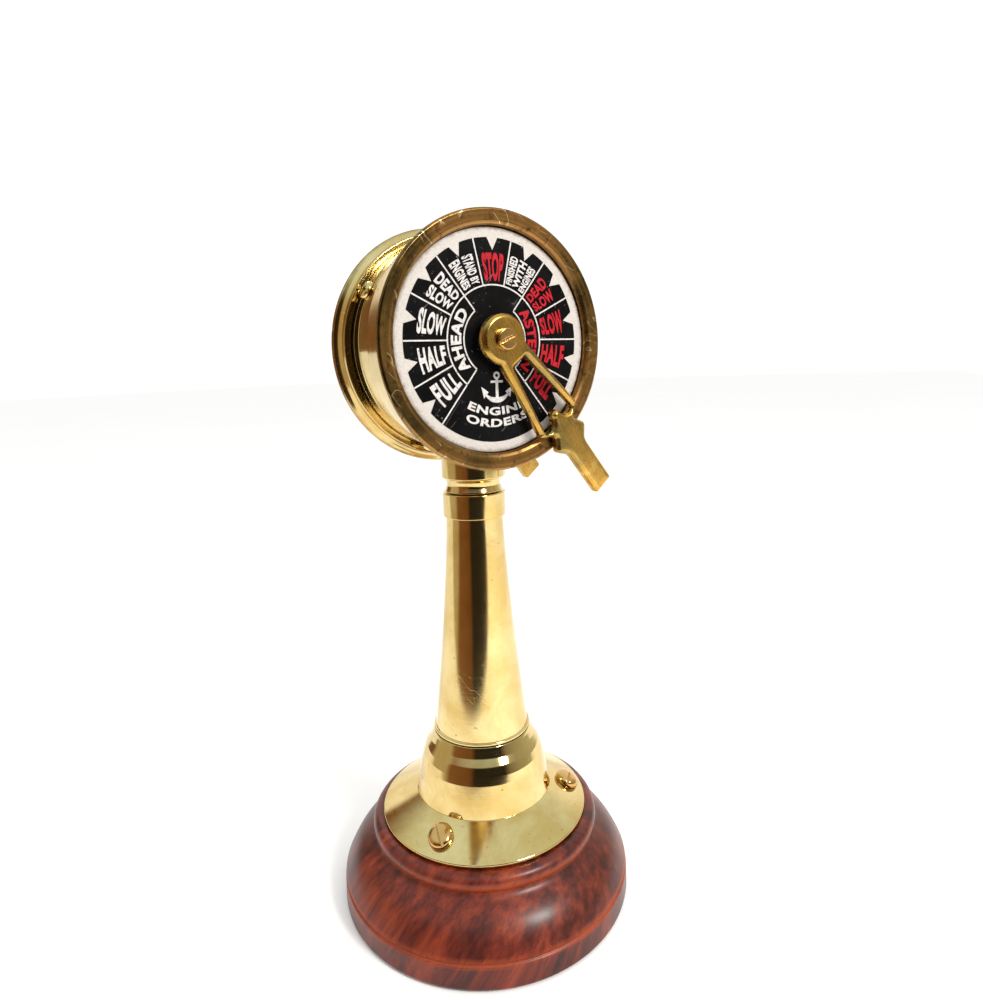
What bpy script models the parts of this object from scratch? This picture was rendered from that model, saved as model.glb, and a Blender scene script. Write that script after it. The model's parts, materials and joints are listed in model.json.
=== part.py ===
"""Desk model of a ship's engine telegraph.

A turned wooden base carries a brass foot, a tapered column and a two-faced drum. One shaft runs
through the drum and carries a pointer lever on each face. Sizes below are in millimetres, and MM
turns them into metres. +Z is up, the front dial faces -Y, and the base rests at Z = 0.
"""

import math

import bmesh
import bpy
from mathutils import Matrix

MM = 0.001
GAP = 0.3                    # clearance left between pieces that touch

# Heights of the stack, from the table up
FELT_TOP = 1.5
WOOD_BOTTOM = 0.3
PLINTH_TOP = 6.4
WOOD_TOP = 23.0
FLANGE_EDGE_TOP = 24.15
NECK_BOTTOM = 29.4           # where the foot's neck rises out of its flange
OVOLO_BOTTOM = 38.2
WEB_BOTTOM = 41.0            # underside of the foot's web, which the tie rod's nut bears on
FOOT_TOP = 47.2
COLUMN_BOTTOM = FOOT_TOP + GAP
TAPER_BOTTOM = 48.4
TAPER_TOP = 112.6
COLUMN_TOP = 120.1
HEAD_Z = 165.7               # shaft and drum centre

# Radii of the base, foot and column
FELT_R = 38.7
PLINTH_R = 43.2
BODY_SWELL = 0.9             # how far the base's sloping side bulges out and up
BEAD_R = 34.3
FLANGE_R = 31.1
NECK_R = 20.6
OVOLO_R = 18.9
COLUMN_RING_R = 14.8
COLUMN_FOOT_R = 14.2
COLUMN_NECK_R = 8.75
TAPER_POWER = 1.35           # above 1 makes the column's sides hollow
COLLAR_R = 9.6
SPIGOT_R = 11.2
FERRULE_R = 9.7
ROD_R = 2.5
ROD_HOLE_R = ROD_R + GAP

# Drum, bezels and dials, w being the distance from the drum's middle along Y
DRUM_R = 33.0
DRUM_WALL = 1.3
DRUM_HALF = 12.6
SKIRT_R = 35.2
SKIRT_W = 11.8
LONG_SKIRT_R = 34.5          # the front bezel's skirt is a long cone over half the drum
LONG_SKIRT_W = 3.0
RIM_R = 37.5
RIM_W = 17.2
SEAT_R = 32.5                # bore of the bezel that the dial sits in
WEB_W = 13.7
DIAL_R = SEAT_R - GAP
DIAL_BACK_W = 14.0
DIAL_FACE_W = 15.0
SLEEVE_R = DRUM_R - DRUM_WALL - GAP
SLEEVE_WALL = 1.2
FRONT_SLEEVE_W = 9.0
REAR_SLEEVE_W = 5.0

# Shaft, bushes and levers
SHAFT_R = 2.5
SHAFT_HALF = 20.0
TAP_DEPTH = 7.0              # of the screw hole in each end of the shaft
BUSH_BORE_R = 2.6
BUSH_BACK_W = 10.5
BUSH_R = 4.0
BUSH_FLANGE_R = 5.4
LEVER_BACK_W = 17.5
LEVER_FACE_W = 20.3
LEVER_BEVEL = 0.6
BOSS_R = 7.3
LEVER_REST_DEG = 142.0       # clockwise from the top of the front dial

# Half outline of a lever: u runs from the hub along the lever, v is half its width
ARM_ROOT = (5.0, 5.3)
LEVER_SIDE = [
    (29.6, 8.6), (30.3, 8.4), (32.3, 6.0), (33.2, 4.7), (34.0, 4.6), (37.2, 6.5), (38.4, 6.2),
    (41.2, 4.0), (43.0, 3.6), (57.2, 3.6), (58.0, 3.1),
]
WINDOW_SIDE = [
    (7.6, 2.5), (29.4, 6.1), (30.6, 6.1), (31.3, 5.2), (31.4, 4.2), (30.9, 3.1), (29.8, 2.2),
    (28.5, 1.6), (27.5, 1.0),
]

# Screws: head radius, head height, shank radius, shank length, slot width, slot depth
FLANGE_SCREW = (3.6, 2.3, 1.6, 14.0, 0.9, 1.2)
CASE_SCREW = (2.8, 1.7, 1.4, 4.2, 0.8, 0.9)
LEVER_SCREW = (3.1, 1.5, 1.5, 5.5, 0.7, 0.8)
FLANGE_SCREW_R = 25.85
FLANGE_SCREW_FIRST_DEG = -150.0
CASE_SCREW_W = 7.5
CASE_SCREW_FIRST_DEG = -62.0
CASE_SCREW_STEP_DEG = 130.0

BIG = 40                     # segments of the largest turned pieces
MIDDLE = 28
SMALL = 16

PALETTE = {
    "polished_brass": ((0.78, 0.58, 0.27), 1.0, 0.12),
    "aged_brass": ((0.42, 0.26, 0.12), 1.0, 0.30),
    "lever_brass": ((0.62, 0.42, 0.13), 1.0, 0.28),
    "screw_brass": ((0.66, 0.46, 0.18), 1.0, 0.25),
    "steel": ((0.45, 0.44, 0.42), 1.0, 0.35),
    "lacquered_wood": ((0.19, 0.035, 0.014), 0.0, 0.28),
    "dial_black": ((0.012, 0.012, 0.013), 0.0, 0.40),
    "felt": ((0.02, 0.06, 0.035), 0.0, 0.95),
}


def clear_scene():
    for old in list(bpy.data.objects):
        bpy.data.objects.remove(old, do_unlink=True)


def material(name):
    """One Principled material for each finish, made the first time it is asked for."""
    found = bpy.data.materials.get(name)
    if found:
        return found
    colour, metallic, roughness = PALETTE[name]
    made = bpy.data.materials.new(name)
    made.use_nodes = True
    shader = made.node_tree.nodes["Principled BSDF"]
    shader.inputs["Base Color"].default_value = (*colour, 1.0)
    shader.inputs["Metallic"].default_value = metallic
    shader.inputs["Roughness"].default_value = roughness
    return made


def add_object(name, mesh, finish, matrix=None):
    if not mesh.materials:
        mesh.materials.append(material(finish))
    piece = bpy.data.objects.new(name, mesh)
    bpy.context.scene.collection.objects.link(piece)
    if matrix is not None:
        piece.matrix_world = matrix
    return piece


def finish_mesh(name, bm):
    """Welds, orients and shades a bmesh, and returns it as a mesh in metres."""
    bmesh.ops.remove_doubles(bm, verts=bm.verts, dist=0.0005)
    bmesh.ops.dissolve_degenerate(bm, edges=bm.edges, dist=0.0005)
    bmesh.ops.recalc_face_normals(bm, faces=bm.faces)
    bmesh.ops.scale(bm, vec=(MM, MM, MM), verts=bm.verts)
    mesh = bpy.data.meshes.new(name)
    bm.to_mesh(mesh)
    bm.free()
    mesh.shade_smooth()
    mesh.set_sharp_from_angle(angle=math.radians(35))
    return mesh


def arc(centre, radius, start_deg, end_deg, steps):
    """Points on a circular arc in an outline, both ends included."""
    points = []
    for i in range(steps + 1):
        a = math.radians(start_deg + (end_deg - start_deg) * i / steps)
        points.append((centre[0] + radius * math.cos(a), centre[1] + radius * math.sin(a)))
    return points


def lathe(name, outline, segments):
    """Turns an outline of (radius, height) points about Z. It closes on itself or on the axis."""
    bm = bmesh.new()
    verts = [bm.verts.new((r, 0, h)) for r, h in outline]
    edges = [bm.edges.new(pair) for pair in zip(verts, verts[1:])]
    if outline[0][0] > 0:
        edges.append(bm.edges.new((verts[-1], verts[0])))
    bmesh.ops.spin(bm, geom=verts + edges, cent=(0, 0, 0), axis=(0, 0, 1),
                   angle=math.tau, steps=segments, use_merge=True)
    return finish_mesh(name, bm)


def inset(loop, distance):
    """Moves each side of a closed loop to its left by distance and joins the sides again."""
    moved = []
    for i, (x, y) in enumerate(loop):
        ax, ay = loop[i - 1]
        bx, by = loop[(i + 1) % len(loop)]
        before = math.atan2(y - ay, x - ax)
        after = math.atan2(by - y, bx - x)
        turn = (after - before + math.pi) % math.tau - math.pi
        reach = distance / math.cos(turn / 2)
        side = before + turn / 2 + math.pi / 2
        moved.append((x + reach * math.cos(side), y + reach * math.sin(side)))
    return moved


def ring_of_verts(bm, loop, height):
    return [bm.verts.new((x, y, height)) for x, y in loop]


def bridge(bm, lower, upper):
    count = len(lower)
    for i in range(count):
        j = (i + 1) % count
        bm.faces.new((lower[i], lower[j], upper[j], upper[i]))


def cap(bm, rings):
    """Fills the flat area between rings of vertices that already have edges."""
    edges = []
    for ring in rings:
        for i, vert in enumerate(ring):
            edges.append(bm.edges.get((vert, ring[(i + 1) % len(ring)])))
    bmesh.ops.triangle_fill(bm, edges=edges, use_beauty=True)


def plate(name, outer, holes, bottom, top, bevel=0.0):
    """A flat plate with holes. Outer loop runs counter-clockwise, holes clockwise."""
    bm = bmesh.new()
    lows = []
    highs = []
    for number, loop in enumerate([outer] + holes):
        low = ring_of_verts(bm, loop, bottom)
        edge = bevel if number < 2 else 0.0
        side = ring_of_verts(bm, loop, top - edge)
        bridge(bm, low, side)
        high = side
        if edge:
            high = ring_of_verts(bm, inset(loop, edge), top)
            bridge(bm, side, high)
        lows.append(low)
        highs.append(high)
    cap(bm, lows)
    cap(bm, highs)
    return finish_mesh(name, bm)


def circle(radius, count, phase_deg=0.0):
    return arc((0, 0), radius, phase_deg, phase_deg + 360 * (count - 1) / count, count - 1)


def drill(piece, cutters):
    """Cuts the cutters out of a piece, keeps the cut mesh and removes the cutters."""
    for cutter in cutters:
        cutter.hide_render = True
        cutter.display_type = "WIRE"
        cut = piece.modifiers.new("cut", "BOOLEAN")
        cut.operation = "DIFFERENCE"
        cut.object = cutter
    graph = bpy.context.evaluated_depsgraph_get()
    cut_mesh = bpy.data.meshes.new_from_object(piece.evaluated_get(graph))
    piece.modifiers.clear()
    cut_mesh.name = piece.name
    piece.data = cut_mesh
    for cutter in cutters:
        bpy.data.objects.remove(cutter, do_unlink=True)


def rod_cutter(matrix, radius, low, high, segments=12):
    mesh = lathe("cutter", [(0, low), (radius, low), (radius, high), (0, high)], segments)
    return add_object("cutter", mesh, "steel", matrix)


def place(x, y, z):
    return Matrix.Translation((x * MM, y * MM, z * MM))


def turn(axis, degrees):
    return Matrix.Rotation(math.radians(degrees), 4, axis)


# A piece drawn with +Z as its outward direction is stood on the front or rear face of the drum
FRONT = place(0, 0, HEAD_Z) @ turn("X", 90)
REAR = place(0, 0, HEAD_Z) @ turn("Z", 180) @ turn("X", 90)
FACES = (("front", FRONT), ("rear", REAR))


def flange_screw_seats():
    """Frames at the three screws, with +Z along the normal of the conical flange."""
    fall = NECK_BOTTOM - FLANGE_EDGE_TOP
    run = FLANGE_R - NECK_R
    tilt = math.degrees(math.atan2(fall, run))
    height = FLANGE_EDGE_TOP + fall * (FLANGE_R - FLANGE_SCREW_R) / run
    for i in range(3):
        spin = turn("Z", FLANGE_SCREW_FIRST_DEG + 120 * i)
        yield spin @ place(FLANGE_SCREW_R, 0, height) @ turn("Y", tilt)


def case_screw_seats():
    """Frames on the drum's surface, with +Z pointing straight out."""
    for i in range(3):
        angle = CASE_SCREW_FIRST_DEG + CASE_SCREW_STEP_DEG * i
        yield place(0, CASE_SCREW_W, HEAD_Z) @ turn("Y", angle) @ place(0, 0, DRUM_R)


def build_base():
    felt = lathe("base_felt", [(0, 0), (FELT_R, 0), (FELT_R, FELT_TOP), (0, FELT_TOP)], MIDDLE)
    add_object("base_felt", felt, "felt")

    recess_top = FELT_TOP + GAP
    body_foot = (PLINTH_R - 0.2, PLINTH_TOP + 1.2)
    body_head = (BEAD_R - 0.4, WOOD_TOP - 5.4)
    bulge = []
    for i in range(6):
        t = i / 5
        swell = BODY_SWELL * math.sin(math.pi * t)
        r = body_foot[0] + (body_head[0] - body_foot[0]) * t + swell
        z = body_foot[1] + (body_head[1] - body_foot[1]) * t + swell
        bulge.append((r, z))
    bead = arc((BEAD_R - 2.5, WOOD_TOP - 2.5), 2.5, -50, 90, 5)
    outline = [(0, recess_top), (FELT_R + GAP, recess_top), (FELT_R + GAP, WOOD_BOTTOM)]
    outline += arc((PLINTH_R - 0.9, WOOD_BOTTOM + 0.9), 0.9, -90, 0, 2)
    outline += [(PLINTH_R, PLINTH_TOP), (PLINTH_R - 0.6, PLINTH_TOP + 0.5)]
    outline += bulge + bead + [(0, WOOD_TOP)]
    wood = add_object("wooden_base", lathe("wooden_base", outline, BIG), "lacquered_wood")
    depth = FLANGE_SCREW[3] + 1.0
    drill(wood, [rod_cutter(seat, 1.9, -depth, 2) for seat in flange_screw_seats()])


def build_foot():
    underside = WOOD_TOP + GAP
    outline = [
        (ROD_HOLE_R, WEB_BOTTOM), (13.5, WEB_BOTTOM), (16.4, 37.5), (17.6, 30.0), (19.5, 26.0),
        (21.5, underside), (FLANGE_R - 0.3, underside), (FLANGE_R, underside + 0.3),
        (FLANGE_R, FLANGE_EDGE_TOP - 0.15), (FLANGE_R - 0.2, FLANGE_EDGE_TOP + 0.1),
        (NECK_R + 0.3, NECK_BOTTOM - 0.1), (NECK_R - 0.2, NECK_BOTTOM + 0.4),
        (NECK_R - 1.2, 33.5), (OVOLO_R - 0.1, OVOLO_BOTTOM - 0.2),
        (OVOLO_R - 0.3, OVOLO_BOTTOM + 0.2), (OVOLO_R - 0.6, 40.4), (OVOLO_R - 1.5, 42.6),
        (OVOLO_R - 2.9, 44.6), (OVOLO_R - 3.8, FOOT_TOP - 0.6), (COLUMN_RING_R, FOOT_TOP),
        (SPIGOT_R, FOOT_TOP),
        (SPIGOT_R, FOOT_TOP + 4.3), (ROD_HOLE_R, FOOT_TOP + 4.3),
    ]
    foot = add_object("foot_flange", lathe("foot_flange", outline, BIG), "polished_brass")
    drill(foot, [rod_cutter(seat, 1.9, -7, 2) for seat in flange_screw_seats()])


def column_radius(height):
    t = (height - TAPER_BOTTOM) / (TAPER_TOP - TAPER_BOTTOM)
    return COLUMN_NECK_R + (COLUMN_FOOT_R - COLUMN_NECK_R) * (1 - t) ** TAPER_POWER


def build_column():
    socket_floor = COLUMN_TOP - 7.1
    outline = [
        (SPIGOT_R + GAP, 53.0), (SPIGOT_R + GAP, COLUMN_BOTTOM), (COLUMN_RING_R, COLUMN_BOTTOM),
        (COLUMN_RING_R, COLUMN_BOTTOM + 0.6),
    ]
    steps = 8
    for i in range(steps + 1):
        height = TAPER_BOTTOM + (TAPER_TOP - TAPER_BOTTOM) * i / steps
        outline.append((column_radius(height), height))
    outline += [
        (COLLAR_R - 0.3, TAPER_TOP + 0.2), (COLLAR_R, TAPER_TOP + 0.6),
        (COLLAR_R, COLUMN_TOP - 0.3), (COLLAR_R - 0.3, COLUMN_TOP), (6.3, COLUMN_TOP),
        (6.3, socket_floor), (ROD_HOLE_R, socket_floor), (ROD_HOLE_R, socket_floor - 4),
        (6.3, socket_floor - 4.5),
    ]
    add_object("column", lathe("column", outline, MIDDLE), "polished_brass")


def build_ferrule():
    """The short turned piece between the column and the drum, saddled to the drum's round."""
    seat = COLUMN_TOP + GAP
    outline = [
        (ROD_HOLE_R, COLUMN_TOP - 6.6), (6.0, COLUMN_TOP - 6.6), (6.0, seat), (8.9, seat),
        (8.3, seat + 1.0), (8.1, seat + 2.0), (8.5, seat + 3.2), (9.1, seat + 4.0),
        (FERRULE_R, seat + 4.4), (FERRULE_R, HEAD_Z - DRUM_R + 3), (ROD_HOLE_R, HEAD_Z - DRUM_R + 3),
    ]
    ferrule = add_object("head_ferrule", lathe("head_ferrule", outline, MIDDLE), "polished_brass")
    drum = rod_cutter(FRONT, DRUM_R + GAP, -20, 20, BIG)
    skirt = rod_cutter(FRONT, SKIRT_R + GAP, LONG_SKIRT_W - GAP, 20, BIG)
    drill(ferrule, [drum, skirt])


def hex_nut(name, across_flats, hole_r, low, high):
    corner_r = across_flats / 2 / math.cos(math.pi / 6)
    hole = circle(hole_r, 12)[::-1]
    return plate(name, circle(corner_r, 6), [hole], low, high)


def washer(name, inner_r, outer_r, low, high):
    return lathe(name, [(inner_r, low), (outer_r, low), (outer_r, high), (inner_r, high)], SMALL)


def build_tie_rod():
    """The rod pulls the drum, ferrule, column and foot together between two nuts."""
    rod_bottom = 32.0
    rod_top = HEAD_Z - 23.0
    drum_floor = HEAD_Z - DRUM_R + DRUM_WALL
    rod = lathe("tie_rod", [(0, rod_bottom), (ROD_R, rod_bottom), (ROD_R, rod_top), (0, rod_top)], 12)
    add_object("tie_rod", rod, "steel")
    low = washer("tie_rod_lower_washer", ROD_HOLE_R, 4.6, WEB_BOTTOM - 1.3, WEB_BOTTOM - GAP)
    add_object("tie_rod_lower_washer", low, "steel")
    low_nut = hex_nut("tie_rod_lower_nut", 8, ROD_HOLE_R, WEB_BOTTOM - 5.6, WEB_BOTTOM - 1.6)
    add_object("tie_rod_lower_nut", low_nut, "steel")
    high = washer("tie_rod_upper_washer", ROD_HOLE_R, 4.6, drum_floor + 0.7, drum_floor + 1.7)
    add_object("tie_rod_upper_washer", high, "steel")
    high_nut = hex_nut("tie_rod_upper_nut", 8, ROD_HOLE_R, drum_floor + 2.0, drum_floor + 6.0)
    add_object("tie_rod_upper_nut", high_nut, "steel")


def build_drum():
    outline = [
        (DRUM_R - DRUM_WALL, -DRUM_HALF), (DRUM_R, -DRUM_HALF),
        (DRUM_R, DRUM_HALF), (DRUM_R - DRUM_WALL, DRUM_HALF),
    ]
    drum = add_object("case_drum", lathe("case_drum", outline, BIG), "polished_brass", FRONT)
    cutters = [rod_cutter(seat, 1.7, -3, 2) for seat in case_screw_seats()]
    cutters.append(rod_cutter(place(0, 0, HEAD_Z - DRUM_R), ROD_HOLE_R, -2, 3))
    drill(drum, cutters)


def bezel_outline(sleeve_end, skirt_r, skirt_w):
    """Sleeve inside the drum, skirt over it, flared side, rounded rim and the dial's seat."""
    return [
        (SLEEVE_R - SLEEVE_WALL, sleeve_end), (SLEEVE_R, sleeve_end),
        (SLEEVE_R, DRUM_HALF + GAP), (DRUM_R + GAP, DRUM_HALF + GAP), (DRUM_R + GAP, skirt_w),
        (skirt_r - 0.2, skirt_w), (skirt_r, skirt_w + 0.2), (SKIRT_R + 0.2, RIM_W - 3.6),
        (SKIRT_R + 0.9, RIM_W - 2.2), (RIM_R - 0.3, RIM_W - 1.5), (RIM_R, RIM_W - 1.0),
        (RIM_R - 0.1, RIM_W - 0.4),
        (RIM_R - 0.6, RIM_W), (SEAT_R + 1.4, RIM_W - 0.1), (SEAT_R + 0.4, RIM_W - 0.5),
        (SEAT_R, RIM_W - 1.0),
        (SEAT_R, WEB_W), (SLEEVE_R - SLEEVE_WALL, WEB_W),
    ]


def build_bezels():
    outline = bezel_outline(FRONT_SLEEVE_W, LONG_SKIRT_R, LONG_SKIRT_W)
    front = lathe("front_bezel", outline, BIG)
    add_object("front_bezel", front, "aged_brass", FRONT)
    outline = bezel_outline(REAR_SLEEVE_W, SKIRT_R, SKIRT_W)
    rear = lathe("rear_bezel", outline, BIG)
    rear_bezel = add_object("rear_bezel", rear, "aged_brass", REAR)
    drill(rear_bezel, [rod_cutter(seat, 1.7, -6, -0.8) for seat in case_screw_seats()])


def build_dials_and_bushes():
    hole_r = BUSH_R + GAP
    for side, stand in FACES:
        disc = [
            (hole_r, DIAL_BACK_W), (DIAL_R, DIAL_BACK_W), (DIAL_R, DIAL_FACE_W),
            (hole_r, DIAL_FACE_W),
        ]
        name = side + "_dial"
        add_object(name, lathe(name, disc, BIG), "dial_black", stand)
        flange_w = DIAL_FACE_W + GAP
        bush = [
            (BUSH_BORE_R, BUSH_BACK_W), (BUSH_R, BUSH_BACK_W), (BUSH_R, flange_w), (BUSH_FLANGE_R, flange_w),
            (BUSH_FLANGE_R, flange_w + 0.6), (BUSH_BORE_R, flange_w + 0.6),
        ]
        name = side + "_bush"
        add_object(name, lathe(name, bush, SMALL), "screw_brass", stand)
        name = side + "_bush_nut"
        nut = hex_nut(name, 11, hole_r, BUSH_BACK_W + 0.5, DIAL_BACK_W - GAP)
        add_object(name, nut, "screw_brass", stand)


def slotted_screw(name, sizes, domed):
    """A slotted screw with its head's underside at Z = 0 and its shank along -Z."""
    head_r, head_h, shank_r, shank_l, slot_w, slot_d = sizes
    outline = [(0, -shank_l), (shank_r, -shank_l + shank_r), (shank_r, 0), (head_r, 0)]
    if domed:
        for fraction in (0.5, 0.85):
            outline.append((head_r * math.sqrt(1 - fraction ** 2 * 0.97), head_h * fraction))
    else:
        outline += [(head_r, head_h - 0.3), (head_r - 0.3, head_h)]
    outline.append((0, head_h))
    screw = add_object(name, lathe(name, outline, 12), "screw_brass")
    slot = plate("slot", [(-5, -slot_w / 2), (5, -slot_w / 2), (5, slot_w / 2), (-5, slot_w / 2)],
                 [], head_h - slot_d, head_h + 1)
    drill(screw, [add_object("slot", slot, "steel")])
    mesh = screw.data
    bpy.data.objects.remove(screw, do_unlink=True)
    return mesh


def build_case_and_flange_screws():
    wood_screw = slotted_screw("flange_screw", FLANGE_SCREW, True)
    for i, seat in enumerate(flange_screw_seats(), 1):
        lift = place(0, 0, GAP) @ turn("Z", 40 * i)
        add_object(f"flange_screw_{i}", wood_screw, "screw_brass", seat @ lift)
    case_screw = slotted_screw("case_screw", CASE_SCREW, True)
    for i, seat in enumerate(case_screw_seats(), 1):
        lift = place(0, 0, GAP) @ turn("Z", 20 + 55 * i)
        add_object(f"case_screw_{i}", case_screw, "screw_brass", seat @ lift)


def mirrored(side):
    """A closed loop from the half given for +v and its mirror image, counter-clockwise."""
    return [(u, -v) for u, v in side] + [(u, v) for u, v in reversed(side)]


def lever_mesh(name):
    root_deg = math.degrees(math.atan2(ARM_ROOT[1], ARM_ROOT[0]))
    boss = arc((0, 0), BOSS_R, root_deg, 360 - root_deg, 14)
    outer = mirrored(LEVER_SIDE) + boss
    window = mirrored(WINDOW_SIDE)[::-1]
    bore = circle(SHAFT_R + GAP, 12)[::-1]
    return plate(name, outer, [window, bore], LEVER_BACK_W, LEVER_FACE_W, LEVER_BEVEL)


def build_levers():
    """Both levers, their screws and washers turn with the shaft about the drum's axis."""
    pivot = bpy.data.objects.new("lever_pivot", None)
    pivot.location = (0, 0, HEAD_Z * MM)
    bpy.context.scene.collection.objects.link(pivot)
    bpy.context.view_layer.update()
    aim = {"front": 90 - LEVER_REST_DEG, "rear": 90 + LEVER_REST_DEG}

    half = SHAFT_HALF
    tap_r = LEVER_SCREW[2] + GAP
    shaft = [
        (0, TAP_DEPTH - half), (tap_r, TAP_DEPTH - half), (tap_r, -half), (SHAFT_R, -half),
        (SHAFT_R, half), (tap_r, half), (tap_r, half - TAP_DEPTH), (0, half - TAP_DEPTH),
    ]
    pieces = [add_object("lever_shaft", lathe("lever_shaft", shaft, SMALL), "steel", FRONT)]
    screw = slotted_screw("lever_screw", LEVER_SCREW, False)
    spring = washer("spring_washer", SHAFT_R + GAP, 5.2, LEVER_BACK_W - 1.3, LEVER_BACK_W - GAP)
    for side, stand in FACES:
        aimed = stand @ turn("Z", aim[side])
        pieces.append(add_object(f"{side}_lever", lever_mesh(f"{side}_lever"), "lever_brass", aimed))
        head = aimed @ place(0, 0, LEVER_FACE_W + GAP) @ turn("Z", 75)
        pieces.append(add_object(f"{side}_lever_screw", screw, "screw_brass", head))
        pieces.append(add_object(f"{side}_spring_washer", spring, "steel", stand))
    for piece in pieces:
        world = piece.matrix_world.copy()
        piece.parent = pivot
        piece.matrix_parent_inverse = pivot.matrix_world.inverted()
        piece.matrix_world = world


def main():
    clear_scene()
    build_base()
    build_foot()
    build_column()
    build_ferrule()
    build_tie_rod()
    build_drum()
    build_bezels()
    build_dials_and_bushes()
    build_case_and_flange_screws()
    build_levers()


main()
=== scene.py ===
import json
from math import atan2, ceil, cos, degrees, pi, radians, sin, tan, tau

import bmesh
import bpy
import numpy as np
from mathutils import Matrix, Vector
from mathutils.geometry import delaunay_2d_cdt


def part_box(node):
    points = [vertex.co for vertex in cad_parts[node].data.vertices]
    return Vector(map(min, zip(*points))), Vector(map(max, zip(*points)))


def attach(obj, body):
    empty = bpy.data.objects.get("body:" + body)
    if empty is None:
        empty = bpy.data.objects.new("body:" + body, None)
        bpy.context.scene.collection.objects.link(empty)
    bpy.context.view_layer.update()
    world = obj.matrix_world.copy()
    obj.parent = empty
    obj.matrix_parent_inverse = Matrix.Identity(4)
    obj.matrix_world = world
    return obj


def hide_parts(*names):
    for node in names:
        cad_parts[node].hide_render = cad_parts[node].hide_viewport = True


# Looks of a desk model of a ship's engine telegraph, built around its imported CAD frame.
# Finely turned bodies stand in for the faceted CAD ones, the dials carry their printed scales
# as thin raised layers, and every finish is a procedural material. Lengths are millimetres
# until a mesh or a node is made, and w is the distance from the drum's middle along the shaft.

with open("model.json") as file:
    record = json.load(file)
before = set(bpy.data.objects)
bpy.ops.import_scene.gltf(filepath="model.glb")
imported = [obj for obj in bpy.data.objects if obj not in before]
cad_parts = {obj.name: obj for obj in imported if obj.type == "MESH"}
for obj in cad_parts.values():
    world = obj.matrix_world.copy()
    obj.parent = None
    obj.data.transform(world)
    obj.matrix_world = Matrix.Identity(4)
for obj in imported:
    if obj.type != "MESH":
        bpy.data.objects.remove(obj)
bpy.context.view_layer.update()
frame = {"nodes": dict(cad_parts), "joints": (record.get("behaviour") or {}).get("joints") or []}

MM = 0.001


def box_mm(node):
    low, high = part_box(node)
    return low / MM, high / MM


def radius_of(node):
    return box_mm(node)[1].x


def heights_of(node):
    low, high = box_mm(node)
    return low.z, high.z


# Driving sizes, read from the frame
HEAD_Z = frame["joints"][0]["pos_m"][2] / MM
FELT_R = radius_of("base_felt")
FELT_TOP = heights_of("base_felt")[1]
PLINTH_R = radius_of("wooden_base")
WOOD_BOTTOM, WOOD_TOP = heights_of("wooden_base")
FLANGE_R = radius_of("foot_flange")
FLANGE_BOTTOM, SPIGOT_TOP = heights_of("foot_flange")
COLUMN_RING_R = radius_of("column")
COLUMN_BOTTOM, COLUMN_TOP = heights_of("column")
FERRULE_R = radius_of("head_ferrule")
DRUM_R = radius_of("case_drum")
DRUM_HALF = box_mm("case_drum")[1].y
RIM_R = radius_of("front_bezel")
RIM_W = -box_mm("front_bezel")[0].y
DIAL_R = radius_of("front_dial")
DIAL_BACK_W = -box_mm("front_dial")[1].y
DIAL_FACE_W = -box_mm("front_dial")[0].y
BUSH_FLANGE_R = radius_of("front_bush")
BUSH_FACE_W = -box_mm("front_bush")[0].y
SHAFT_R = radius_of("lever_shaft")
SHAFT_HALF = box_mm("lever_shaft")[1].y
LEVER_BACK_W = -box_mm("front_lever")[1].y
LEVER_FACE_W = -box_mm("front_lever")[0].y
WASHER_R = radius_of("front_spring_washer")

# Clearances, and heights and radii that several pieces share
GAP = 0.3
RUNNING_FIT = 0.1
SEATING = 0.05
FOOT_TOP = COLUMN_BOTTOM - GAP
SEAT_R = DIAL_R + GAP
ROD_HOLE_R = 2.8
WEB_BOTTOM = 41.0
SPIGOT_R = 11.2
PLINTH_TOP = WOOD_BOTTOM + 6.1
FLANGE_EDGE_TOP = FLANGE_BOTTOM + 0.85
FLANGE_RISE = 5.25
NECK_R = 20.6
LEVER_REST_DEG = 142.0       # clockwise from the top of the front dial

# Slotted screws: head radius, head height, shank radius, shank length, slot width, slot depth
FLANGE_SCREW = (3.6, 2.3, 1.5, 6.0, 0.9, 1.2)
CASE_SCREW = (2.8, 1.6, 1.3, 1.2, 0.8, 0.9)
LEVER_SCREW = (3.1, 1.5, 1.5, 5.5, 0.7, 0.8)
SLOT_EDGE = 0.07
FLANGE_SCREW_R = 25.85
FLANGE_SCREW_FIRST_DEG = -150.0
CASE_SCREW_W = 7.5
CASE_SCREW_FIRST_DEG = -62.0
CASE_SCREW_STEP_DEG = 130.0


def place(x, y, z):
    return Matrix.Translation((x * MM, y * MM, z * MM))


def turn(axis, angle_deg):
    return Matrix.Rotation(radians(angle_deg), 4, axis)


# A piece drawn with +Z as its outward direction is stood on the front or rear of the drum
FRONT = place(0, 0, HEAD_Z) @ turn("X", 90)
REAR = place(0, 0, HEAD_Z) @ turn("Z", 180) @ turn("X", 90)
FACES = {"front": FRONT, "rear": REAR}


# ---------------- materials

def srgb(red, green, blue):
    """A linear colour from the 0-255 values a screen shows."""
    linear = []
    for value in (red, green, blue):
        c = value / 255
        linear.append(c / 12.92 if c <= 0.04045 else ((c + 0.055) / 1.055) ** 2.4)
    return (*linear, 1.0)


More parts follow.
